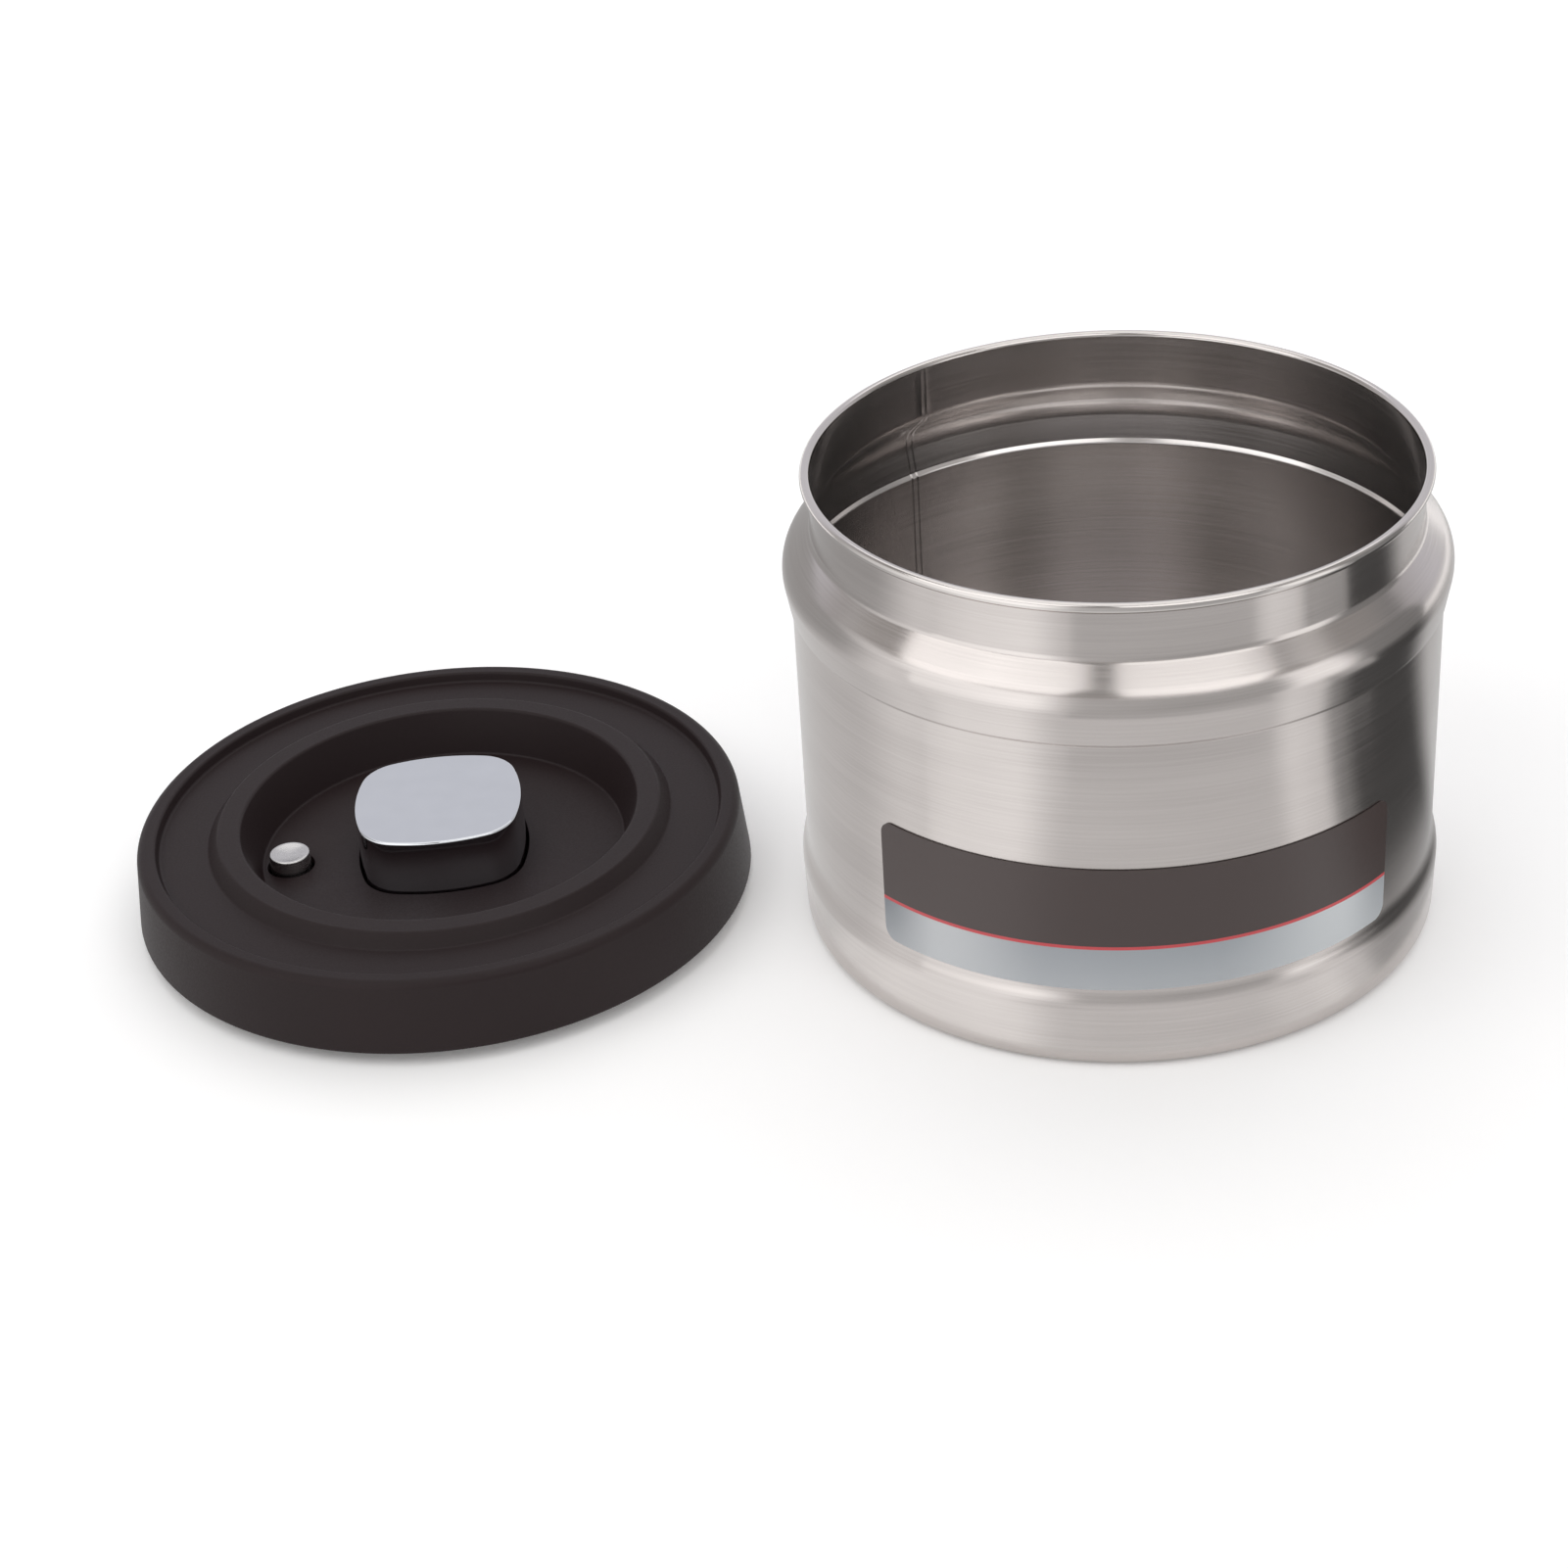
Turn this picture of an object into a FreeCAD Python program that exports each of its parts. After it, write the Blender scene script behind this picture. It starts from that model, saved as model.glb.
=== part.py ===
"""Stainless steel vacuum canister with its one-button pump lid lying beside it.

Millimetres, +Z up. The canister stands on z = 0 with its axis on the Z axis. The lid lies
to its left on the same table, resting on the plug under its cover.
"""

import FreeCAD
import Part
import Sketcher
import math
import os

V = FreeCAD.Vector
doc = FreeCAD.newDocument("vacuum_canister")

# Driving sizes, in millimetres, degrees and counts.
SIZES = {
    # canister
    "rim_od": 130.0,            # over the curled rim
    "rim_curl": 2.2,            # diameter of the curl
    "can_height": 104.8,
    "steel": 0.6,               # sheet thickness
    "neck_height": 12.7,        # rim top to the corner under the neck
    "neck_round": 2.0,
    "shoulder_out": 7.1,        # how far the shoulder's corner stands out from the neck
    "shoulder_height": 6.5,     # from the corner under the neck down to the shoulder's corner
    "shoulder_round": 7.0,
    "shoulder_fall": 10.1,      # from the shoulder's corner down to the straight body
    "body_in": 2.5,             # how far the body lies inside the shoulder's corner
    "body_round": 3.0,
    "band_height": 12.6,        # height of the foot band's corner
    "band_slope": 5.9,          # from that corner up to where the band starts
    "band_out": 1.3,            # how far that corner stands out from the body
    "band_round": 5.0,
    "band_taper": 0.5,          # how much the band narrows towards the table
    "foot_round": 3.0,
    "foot_width": 6.2,          # the turned-in foot, measured from the band's edge
    "base_lift": 2.0,           # rise of the base panel inside its rim
    "base_slope": 2.4,
    "base_gap": 0.2,            # base panel's edge to the round of the foot
    # label on the body
    "label_gap": 0.5,           # from the band's start up to the label's lower edge
    "label_height": 28.6,
    "label_film": 0.25,
    "label_glue": 0.1,
    "label_turn": 5.2,          # from the front towards +X, in degrees
    "label_span": 97.4,         # in degrees
    "label_round": 3.0,
    # where the lid lies
    "lid_gap": 11.5,            # between the canister's shoulder and the lid's skirt
    "lid_front": 2.6,           # lid's axis in front of the canister's
    # moulded cover
    "cover_wall": 1.8,
    "floor_wall": 1.8,
    "rim_clear": 0.4,           # skirt to rim
    "skirt_height": 16.8,
    "skirt_flare": 1.8,         # how much wider the skirt is at its foot than at its lip
    "skirt_foot_round": 0.6,
    "lip_width": 3.9,
    "lip_round": 1.9,
    "lip_inner_round": 0.7,
    "moat_depth": 2.2,          # lip down to the flat between lip and ring
    "moat_round": 0.7,
    "moat_width": 10.6,         # from the lip in to the ring's foot
    "ring_width": 4.9,
    "ring_rise": 3.0,           # from the moat up to the ring's top
    "ring_foot": 2.5,           # how far the ring's foot spreads outwards
    "ring_round": 0.8,
    "bowl_taper": 3.7,          # how much nearer the axis the bowl's wall is at its floor
    "bowl_depth": 10.1,         # ring top down to the floor
    "bowl_round": 0.6,
    # screws between cover and plug
    "screw_count": 4,
    "screw_circle": 57.0,
    "screw_turn": 24.6,         # from the release valve to the next screw, in degrees
    "screw_d": 2.4,
    "screw_length": 6.5,
    "screw_head_d": 5.2,
    "screw_head": 0.9,
    "screw_boss_d": 6.0,
    "screw_fit": 0.03,
    # plug under the cover
    "stand_height": 1.1,        # plate above the table
    "stand_width": 6.6,         # foot ring of the plug
    "stand_slope": 0.8,
    "plate_wall": 1.6,
    "plug_gap": 1.3,            # plug to neck
    "plug_wall": 2.0,
    "plug_round": 0.6,
    "groove_depth": 3.0,
    "flange_low": 2.4,          # flange under the gasket
    "flange_high": 1.6,         # flange over the gasket
    "gasket_height": 6.8,
    "gasket_fit": 0.06,
    "gasket_body": 2.1,
    "gasket_squeeze": 0.3,      # free lips reach this far past the neck's bore
    "gasket_lip": 0.6,
    # pump
    "pump_bore": 27.0,
    "pump_stroke": 6.0,
    "stroke_gap": 0.4,          # piston to chamber floor when pressed
    "button_gap": 0.5,          # button to its hole
    "button_over": 0.6,         # button's edge over the plate when pressed
    "button_sink": 1.2,         # button's edge below the bowl's floor at rest
    "press_gap": 2.0,           # collar to the button's roof when pressed
    "button_wall": 1.5,
    "button_top": 1.6,
    "button_bow": 40.0,         # radius of the button's four sides
    "button_corner": 9.5,       # radius of its corners in plan
    "button_edge": 0.5,
    "button_turn": 11.0,        # in degrees
    "button_boss_d": 5.2,
    "button_boss_gap": 1.1,     # boss to the plunger's web
    "cylinder_wall": 1.5,
    "spring_wire": 0.9,
    "spring_inner_gap": 0.45,
    "spring_outer_gap": 0.65,
    "spring_turns": 5,
    "spring_seat": 0.05,
    "collar_wall": 1.6,
    "collar_clear": 0.75,       # collar to the outlet flap
    "collar_gap": 0.3,
    "piston_height": 2.6,
    "piston_gap": 0.4,
    "piston_recess_d": 13.0,
    "piston_recess": 1.2,
    "seal_height": 1.6,
    "seal_depth": 1.3,
    "seal_gap": 0.08,
    "stem_d": 10.0,
    "stem_fit": 0.03,
    "stem_web": 2.2,
    "stem_screw_grip": 3.3,     # its thread in the button's boss
    "stem_screw_head_d": 5.4,
    "stem_screw_head": 1.5,
    "stem_screw_gap": 0.3,
    "stem_screw_sink": 0.5,
    "outlet_count": 6,
    "outlet_circle": 15.8,
    "outlet_d": 1.7,
    "flap_wall": 0.6,
    "flap_lap": 0.8,            # the flap past its holes
    "flap_gap": 0.2,
    # inlet in the plate
    "inlet_count": 6,
    "inlet_circle": 6.6,
    "inlet_d": 1.5,
    "umbrella_d": 10.4,
    "umbrella_edge": 0.35,
    "umbrella_crown": 0.9,
    "umbrella_stem_d": 2.2,
    "umbrella_bulb_d": 3.4,
    "umbrella_bulb_gap": 0.05,  # bulb to filter
    "umbrella_fit": 0.05,
    "filter_d": 17.0,
    "filter_wall": 0.4,
    "filter_rim": 1.0,
    "filter_clear": 0.15,       # filter above the table
    "filter_hole_d": 1.3,
    "filter_inner_count": 6,
    "filter_inner_circle": 5.6,
    "filter_outer_count": 12,
    "filter_outer_circle": 10.8,
    # air release valve
    "valve_edge": 1.1,          # between the valve's hole and the bowl's wall
    "valve_turn": 193.4,        # in degrees
    "valve_cap_d": 9.0,
    "valve_cap_rise": 3.3,
    "valve_cap_sink": 1.3,
    "valve_cap_wall": 0.9,
    "valve_cap_top": 1.4,
    "valve_cap_round": 0.35,
    "valve_dish": 0.35,
    "valve_dish_rim": 0.6,
    "valve_hole_gap": 0.7,
    "valve_stem_d": 3.0,
    "valve_stem_fit": 0.02,
    "valve_stem_gap": 0.4,
    "valve_head_d": 5.2,
    "valve_head": 0.5,
    "valve_boss_wall": 1.4,     # round the pocket
    "valve_boss_rise": 2.1,     # boss above the plate
    "valve_web": 1.6,           # seat thickness
    "valve_pocket_gap": 0.8,    # seal to the pocket's wall
    "valve_seal_d": 7.6,
    "valve_seal": 0.9,
    "valve_socket_wall": 0.7,
    "valve_socket": 2.8,
    "valve_wire": 0.5,
    "valve_turns": 6,
    # how far a cutting tool passes the face that it cuts through
    "overrun": 1.0,
}

# Shares along the gasket's height: lower fin root, its tip, upper root, and the same for the next fin.
FIN_SHARES = (0.10, 0.32, 0.30, 0.58, 0.80, 0.78)


class Size:
    """A length or angle: its value now, and the formula that ties it to the sheet."""

    def __init__(self, value, text):
        self.value = value
        self.text = text

    @staticmethod
    def of(other):
        return other if isinstance(other, Size) else Size(other, repr(other))

    def __add__(self, other):
        other = Size.of(other)
        return Size(self.value + other.value, f"({self.text} + {other.text})")

    def __sub__(self, other):
        other = Size.of(other)
        return Size(self.value - other.value, f"({self.text} - {other.text})")

    def __mul__(self, other):
        other = Size.of(other)
        return Size(self.value * other.value, f"({self.text} * {other.text})")

    def __truediv__(self, other):
        other = Size.of(other)
        return Size(self.value / other.value, f"({self.text} / {other.text})")

    def __neg__(self):
        return Size(-self.value, f"(-{self.text})")

    def along(self, angle):
        """The X and Y of a point this far out at an angle in degrees."""
        turn = math.radians(angle.value)
        x = Size(self.value * math.cos(turn), f"({self.text} * cos({angle.text}))")
        y = Size(self.value * math.sin(turn), f"({self.text} * sin({angle.text}))")
        return x, y


class Sheet:
    """The spreadsheet, with one Size per aliased cell."""

    def __init__(self, sizes):
        cells = doc.addObject("Spreadsheet::Sheet", "Sizes")
        for row, (name, number) in enumerate(sizes.items(), start=1):
            cells.set(f"A{row}", name)
            cells.set(f"B{row}", str(number))
            cells.setAlias(f"B{row}", name)
        doc.recompute()
        for name in sizes:
            setattr(self, name, Size(float(cells.get(name)), f"Sizes.{name}"))


k = Sheet(SIZES)
ZERO = Size(0.0, "0")
nodes = []


# Helpers for bodies, sketches and features.

def new_body(name, place=None):
    """A body named after its piece, moved to a place (x, y) if it has one."""
    body = doc.addObject("PartDesign::Body", name)
    body.Label = name
    if place is not None:
        body.setExpression("Placement.Base.x", place[0].text)
        body.setExpression("Placement.Base.y", place[1].text)
    nodes.append(body)
    return body


def new_sketch(body, name, role, lift=ZERO, turn=ZERO):
    """A sketch on one of the body's own planes, lifted along its normal and turned about it."""
    plane = next(f for f in body.Origin.OriginFeatures if f.Role == role)
    sketch = body.newObject("Sketcher::SketchObject", name)
    sketch.AttachmentSupport = [(plane, "")]
    sketch.MapMode = "FlatFace"
    spin = FreeCAD.Rotation(V(0, 0, 1), turn.value)
    sketch.AttachmentOffset = FreeCAD.Placement(V(0, 0, lift.value), spin)
    sketch.setExpression("AttachmentOffset.Base.z", lift.text)
    if turn is not ZERO:
        sketch.setExpression("AttachmentOffset.Rotation.Angle", turn.text)
    return sketch


def constrain(sketch, rules):
    """Adds constraints, and ties each one that has a Size to the sheet."""
    for rule, size in rules:
        index = sketch.addConstraint(rule)
        if size is not None:
            sketch.setExpression(f"Constraints[{index}]", size.text)


def place_rules(geo, pos, x, y):
    """Rules that hold a point at x and y from the sketch's origin."""
    return [
        (Sketcher.Constraint("DistanceX", -1, 1, geo, pos, x.value), x),
        (Sketcher.Constraint("DistanceY", -1, 1, geo, pos, y.value), y),
    ]


def ccw_arc(centre, radius, first, last):
    """An arc about +Z, from the direction of one point to that of another."""
    start = math.atan2(first.y - centre.y, first.x - centre.x)
    end = math.atan2(last.y - centre.y, last.x - centre.x)
    if end <= start:
        end += math.tau
    return Part.ArcOfCircle(Part.Circle(centre, V(0, 0, 1), radius), start, end)


def outline(sketch, corners):
    """A closed outline of straight lines through corners (x, y) or rounded corners (x, y, radius)."""
    count = len(corners)
    points = [V(c[0].value, c[1].value, 0) for c in corners]
    entry, leave, arcs = [], [], []
    for i, corner in enumerate(corners):
        here, before, after = points[i], points[i - 1], points[(i + 1) % count]
        if len(corner) < 3:
            entry.append(here)
            leave.append(here)
            arcs.append(None)
            continue
        back = (before - here).normalize()
        ahead = (after - here).normalize()
        half = back.getAngle(ahead) / 2
        reach = corner[2].value / math.tan(half)
        centre = here + (back + ahead).normalize() * (corner[2].value / math.sin(half))
        entry.append(here + back * reach)
        leave.append(here + ahead * reach)
        left_turn = back.cross(ahead).z < 0
        ends = (entry[i], leave[i]) if left_turn else (leave[i], entry[i])
        arcs.append((ccw_arc(centre, corner[2].value, *ends), left_turn))
    lines = [sketch.addGeometry(Part.LineSegment(leave[i], entry[(i + 1) % count])) for i in range(count)]
    rules = []
    for i, corner in enumerate(corners):
        before, after = lines[i - 1], lines[i]
        if arcs[i] is None:
            rules.append((Sketcher.Constraint("Coincident", before, 2, after, 1), None))
            rules += place_rules(after, 1, corner[0], corner[1])
            continue
        arc = sketch.addGeometry(arcs[i][0])
        apex = sketch.addGeometry(Part.Point(points[i]), True)
        first, last = (1, 2) if arcs[i][1] else (2, 1)
        rules.append((Sketcher.Constraint("Tangent", before, 2, arc, first), None))
        rules.append((Sketcher.Constraint("Tangent", after, 1, arc, last), None))
        rules.append((Sketcher.Constraint("Radius", arc, corner[2].value), corner[2]))
        rules.append((Sketcher.Constraint("PointOnObject", apex, 1, before), None))
        rules.append((Sketcher.Constraint("PointOnObject", apex, 1, after), None))
        rules += place_rules(apex, 1, corner[0], corner[1])
    constrain(sketch, rules)


def circle(sketch, radius, x=ZERO, y=ZERO):
    """A circle tied to its radius and centre."""
    geo = sketch.addGeometry(Part.Circle(V(x.value, y.value, 0), V(0, 0, 1), radius.value))
    rules = [(Sketcher.Constraint("Radius", geo, radius.value), radius)]
    constrain(sketch, rules + place_rules(geo, 3, x, y))


def squircle(sketch, half, bow, corner):
    """A soft square: four bowed sides joined by four tighter corners."""
    offset = half - bow
    a, side, tip = offset.value, bow.value, corner.value
    reach = (a + math.sqrt(2 * (side - tip) ** 2 - a * a)) / 2
    sides, tips = [], []
    for quarter in range(4):
        spin = FreeCAD.Rotation(V(0, 0, 1), 90 * quarter)
        middle = spin.multVec(V(a, 0, 0))
        here = spin.multVec(V(reach, reach, 0))
        before = spin.multVec(V(reach, -reach, 0))
        after = spin.multVec(V(-reach, reach, 0))
        top = spin.multVec(V(0, a, 0))
        sides.append(sketch.addGeometry(ccw_arc(middle, side, before, here)))
        tips.append(sketch.addGeometry(ccw_arc(here, tip, here * 2 - middle, here * 2 - top)))
    rules = []
    for quarter in range(4):
        nearest = sides[(quarter + 1) % 4]
        rules.append((Sketcher.Constraint("Tangent", sides[quarter], 2, tips[quarter], 1), None))
        rules.append((Sketcher.Constraint("Tangent", tips[quarter], 2, nearest, 1), None))
        rules.append((Sketcher.Constraint("Radius", sides[quarter], side), bow))
        rules.append((Sketcher.Constraint("Radius", tips[quarter], tip), corner))
    rules += place_rules(sides[0], 3, offset, ZERO)
    rules += place_rules(sides[1], 3, ZERO, offset)
    rules += place_rules(sides[2], 3, -offset, ZERO)
    rules += place_rules(sides[3], 3, ZERO, -offset)
    constrain(sketch, rules)


def spin_up(body, name, corners):
    """A ring or disc: an outline in radius and height, turned about the body's Z axis."""
    sketch = new_sketch(body, name + "_profile", "XZ_Plane")
    outline(sketch, corners)
    turned = body.newObject("PartDesign::Revolution", name)
    turned.Profile = sketch
    turned.ReferenceAxis = (sketch, ["V_Axis"])
    turned.Angle = 360
    return turned


def extrude(body, kind, name, sketch, length, reverse=False):
    """A Pad or Pocket of a sketch, its length tied to the sheet."""
    feature = body.newObject("PartDesign::" + kind, name)
    feature.Profile = sketch
    feature.Reversed = reverse
    feature.Length = length.value
    feature.setExpression("Length", length.text)
    return feature


def drill(body, name, radius, low, high, x=ZERO, y=ZERO):
    """A round cut between two heights."""
    sketch = new_sketch(body, name + "_circle", "XY_Plane", low)
    circle(sketch, radius, x, y)
    return extrude(body, "Pocket", name, sketch, high - low, reverse=True)


def ring_of(body, name, feature, count):
    """Equal copies of a feature round the body's Z axis."""
    pattern = body.newObject("PartDesign::PolarPattern", name)
    pattern.Originals = [feature]
    pattern.Axis = (feature.Profile[0], ["N_Axis"])
    pattern.Angle = 360
    pattern.setExpression("Occurrences", count.text)
    body.Tip = pattern
    return pattern


def free_form(name, shape, place):
    """A piece whose solid is made directly, at a place (x, y)."""
    piece = doc.addObject("Part::Feature", name)
    piece.Label = name
    piece.Shape = shape
    piece.setExpression("Placement.Base.x", place[0].text)
    piece.setExpression("Placement.Base.y", place[1].text)
    nodes.append(piece)
    return piece


def coil_point(radius, low, pitch, turn):
    """A point on a helix, and its direction there."""
    angle = math.tau * turn
    point = V(radius * math.cos(angle), radius * math.sin(angle), low + pitch * turn)
    ahead = V(-math.tau * radius * math.sin(angle), math.tau * radius * math.cos(angle), pitch)
    return point, ahead.normalize()


def bend(start, corner, end):
    """The arc that starts and ends on two equal tangents meeting at a corner."""
    middle = (start + end) / 2
    chord = (end - start).Length / 2
    rise = (corner - middle).Length
    sag = chord * math.tan(math.atan2(rise, chord) / 2)
    return Part.Arc(start, middle + (corner - middle) * (sag / rise), end).toShape()


def coil_spring(name, radius, wire, low, high, turns):
    """One unbroken wire wound between two heights, in biarcs of a quarter turn."""
    first = low + wire / 2
    pitch = (high - low - wire) / turns
    edges = []
    for step in range(4 * turns):
        start, out = coil_point(radius, first, pitch, step / 4)
        end, back = coil_point(radius, first, pitch, (step + 1) / 4)
        gap, both = end - start, out + back
        a, b, c = both.dot(both) - 4, -2 * gap.dot(both), gap.dot(gap)
        reach = (-b - math.sqrt(b * b - 4 * a * c)) / (2 * a)
        corners = (start + out * reach, end - back * reach)
        joint = (corners[0] + corners[1]) / 2
        edges += [bend(start, corners[0], joint), bend(joint, corners[1], end)]
    path = Part.Wire(edges)
    start, out = coil_point(radius, first, pitch, 0)
    section = Part.Wire([Part.Circle(start, out, wire / 2).toShape()])
    samples = [coil_point(radius, first, pitch, step / 24)[0] for step in range(24 * turns + 1)]
    apart = 12
    gaps = [a.distanceToPoint(b) for i, a in enumerate(samples) for b in samples[i + apart:]]
    print(f"{name}: least gap to itself {min(gaps) - wire:.2f} mm")
    return path.makePipeShell([section], True, False)


# Canister shell: rolled sheet with a curled rim, neck, shoulder, body and foot band.

rim_r = k.rim_od / 2
neck_in = rim_r - k.rim_curl
neck_r = neck_in + k.steel
shoulder_r = neck_r + k.shoulder_out
body_r = shoulder_r - k.body_in
band_r = body_r + k.band_out
foot_r = band_r - k.band_taper
band_top = k.band_height + k.band_slope
curl_r = k.rim_curl / 2
curl_x = rim_r - curl_r
curl_z = k.can_height - curl_r
neck_z = k.can_height - k.neck_height
shoulder_z = neck_z - k.shoulder_height
body_z = shoulder_z - k.shoulder_fall
foot_in = foot_r - k.foot_width


def wall_points(corners, wall):
    """The tangent points and arcs of a chain of rounded corners, and those of its inner face."""
    points = [V(c[0].value, c[1].value, 0) for c in corners]
    chain = []
    for i in range(1, len(corners) - 1):
        radius = corners[i][2].value
        back = (points[i - 1] - points[i]).normalize()
        ahead = (points[i + 1] - points[i]).normalize()
        half = back.getAngle(ahead) / 2
        centre = points[i] + (back + ahead).normalize() * (radius / math.sin(half))
        bulges = back.cross(ahead).z > 0
        inner = corners[i][2] - wall if bulges else corners[i][2] + wall
        spans = [(centre + (points[i] + way * (radius / math.tan(half)) - centre) * (size / radius))
                 for size in (radius, inner.value) for way in (back, ahead)]
        chain.append((centre, bulges, inner, spans))
    return points, chain


def sheet_metal(sketch, corners, wall, curl):
    """A rolled sheet in section: a chain of rounded corners from a curl at the top to a cut edge."""
    points, chain = wall_points(corners, wall)
    hub, size = V(curl[0].value, curl[1].value, 0), curl[2].value
    west, south = hub - V(size, 0, 0), hub - V(0, size, 0)
    inner_size = size - wall.value
    roll = sketch.addGeometry(Part.ArcOfCircle(Part.Circle(hub, V(0, 0, 1), size), -math.pi / 2, math.pi))
    hollow = sketch.addGeometry(
        Part.ArcOfCircle(Part.Circle(hub, V(0, 0, 1), inner_size), -math.pi / 2, math.pi))
    tip = sketch.addGeometry(Part.LineSegment(south, hub - V(0, inner_size, 0)))
    rules = [
        (Sketcher.Constraint("Coincident", roll, 3, hollow, 3), None),
        (Sketcher.Constraint("Radius", roll, size), curl[2]),
        (Sketcher.Constraint("Radius", hollow, inner_size), curl[2] - wall),
        (Sketcher.Constraint("Coincident", tip, 1, roll, 1), None),
        (Sketcher.Constraint("Coincident", tip, 2, hollow, 1), None),
        (Sketcher.Constraint("Vertical", tip), None),
        (Sketcher.Constraint("PointOnObject", roll, 3, tip), None),
    ]
    rules += place_rules(roll, 3, curl[0], curl[1])
    ends = []
    for face in (0, 1):
        last_geo, last_pos = (hollow, 2) if face == 0 else (roll, 2)
        last_point = hub - V(inner_size, 0, 0) if face == 0 else west
        for i, (centre, bulges, inner, spans) in enumerate(chain):
            near, far = spans[2 * face], spans[2 * face + 1]
            size_here = corners[i + 1][2] if face == 0 else inner
            line = sketch.addGeometry(Part.LineSegment(last_point, near))
            order = (far, near) if bulges else (near, far)
            arc = sketch.addGeometry(ccw_arc(centre, size_here.value, *order))
            enter, leave = (2, 1) if bulges else (1, 2)
            rules.append((Sketcher.Constraint("Tangent", last_geo, last_pos, line, 1), None))
            rules.append((Sketcher.Constraint("Tangent", line, 2, arc, enter), None))
            if face == 0:
                apex = sketch.addGeometry(Part.Point(points[i + 1]), True)
                rules.append((Sketcher.Constraint("PointOnObject", apex, 1, line), None))
                rules.append((Sketcher.Constraint("Radius", arc, size_here.value), size_here))
                rules += place_rules(apex, 1, corners[i + 1][0], corners[i + 1][1])
                ends.append((arc, apex))
            else:
                rules.append((Sketcher.Constraint("Coincident", arc, 3, ends[i][0], 3), None))
                rules.append((Sketcher.Constraint("Radius", arc, size_here.value), size_here))
            last_geo, last_pos, last_point = arc, leave, far
            if face == 0 and i > 0:
                rules.append((Sketcher.Constraint("PointOnObject", ends[i - 1][1], 1, line), None))
        edge = points[-1] if face == 0 else points[-1] + V(0, wall.value, 0)
        line = sketch.addGeometry(Part.LineSegment(last_point, edge))
        rules.append((Sketcher.Constraint("Tangent", last_geo, last_pos, line, 1), None))
        if face == 0:
            rules.append((Sketcher.Constraint("PointOnObject", ends[-1][1], 1, line), None))
            rules += [place_rules(line, 2, corners[-1][0], corners[-1][1])[0]]
            outer_end = line
        else:
            cut = sketch.addGeometry(Part.LineSegment(points[-1], edge))
            rules.append((Sketcher.Constraint("Coincident", cut, 1, outer_end, 2), None))
            rules.append((Sketcher.Constraint("Coincident", cut, 2, line, 2), None))
            rules.append((Sketcher.Constraint("Vertical", cut), None))
    constrain(sketch, rules)


shell = new_body("canister_shell")
shell_profile = new_sketch(shell, "shell_profile", "XZ_Plane")
sheet_metal(
    shell_profile,
    [
        (neck_r, curl_z),
        (neck_r, neck_z, k.neck_round),
        (shoulder_r, shoulder_z, k.shoulder_round),
        (body_r, body_z, k.body_round),
        (body_r, band_top, k.band_round),
        (band_r, k.band_height, k.band_round),
        (foot_r, ZERO, k.foot_round),
        (foot_in, ZERO),
    ],
    k.steel,
    (curl_x, curl_z, curl_r),
)
shell_turn = shell.newObject("PartDesign::Revolution", "shell_turn")
shell_turn.Profile = shell_profile
shell_turn.ReferenceAxis = (shell_profile, ["V_Axis"])
shell_turn.Angle = 360

# Base panel: a pressed disc on the turned-in foot.

base_r = foot_r - k.foot_round - k.base_gap
base_low = k.steel
base_high = base_low + k.base_lift
base = new_body("canister_base")
spin_up(base, "base_panel", [
    (ZERO, base_high),
    (foot_in - k.base_slope, base_high),
    (foot_in, base_low),
    (base_r, base_low),
    (base_r, base_low + k.steel),
    (foot_in, base_low + k.steel),
    (foot_in - k.base_slope, base_high + k.steel),
    (ZERO, base_high + k.steel),
])

# Label: a film wrapped round the front of the body.

label_in = body_r + k.label_glue
label_out = label_in + k.label_film
label_low = band_top + k.label_gap
label_top = label_low + k.label_height
label = new_body("front_label")
label_profile = new_sketch(label, "label_profile", "XZ_Plane")
outline(label_profile, [
    (label_in, label_low),
    (label_out, label_low),
    (label_out, label_top),
    (label_in, label_top),
])
label_wrap = label.newObject("PartDesign::Revolution", "label_wrap")
label_wrap.Profile = label_profile
label_wrap.ReferenceAxis = (label_profile, ["V_Axis"])
label_wrap.Angle = k.label_span.value
label_wrap.setExpression("Angle", k.label_span.text)
label_wrap.Midplane = True
label.Placement = FreeCAD.Placement(V(0, 0, 0), FreeCAD.Rotation(V(0, 0, 1), k.label_turn.value - 90))
label.setExpression("Placement.Rotation.Angle", f"{k.label_turn.text} - 90")
doc.recompute()
short_edges = [
    f"Edge{i}" for i, edge in enumerate(label_wrap.Shape.Edges, start=1)
    if abs(edge.Length - k.label_film.value) < k.label_film.value / 100
]
label_corners = label.newObject("PartDesign::Fillet", "label_corners")
label_corners.Base = (label_wrap, short_edges)
label_corners.Radius = k.label_round.value
label_corners.setExpression("Radius", k.label_round.text)

# Heights on the lid, from the table up.

plate_low = k.stand_height
plate_top = plate_low + k.plate_wall
floor_z = plate_top + k.button_over + k.pump_stroke + k.button_sink
floor_low = floor_z - k.floor_wall
ring_z = floor_z + k.bowl_depth
moat_z = ring_z - k.ring_rise
under_z = moat_z - k.cover_wall
lip_z = moat_z + k.moat_depth
skirt_z = lip_z - k.skirt_height

# Radii of the cover, from the rim that it closes over.

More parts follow.
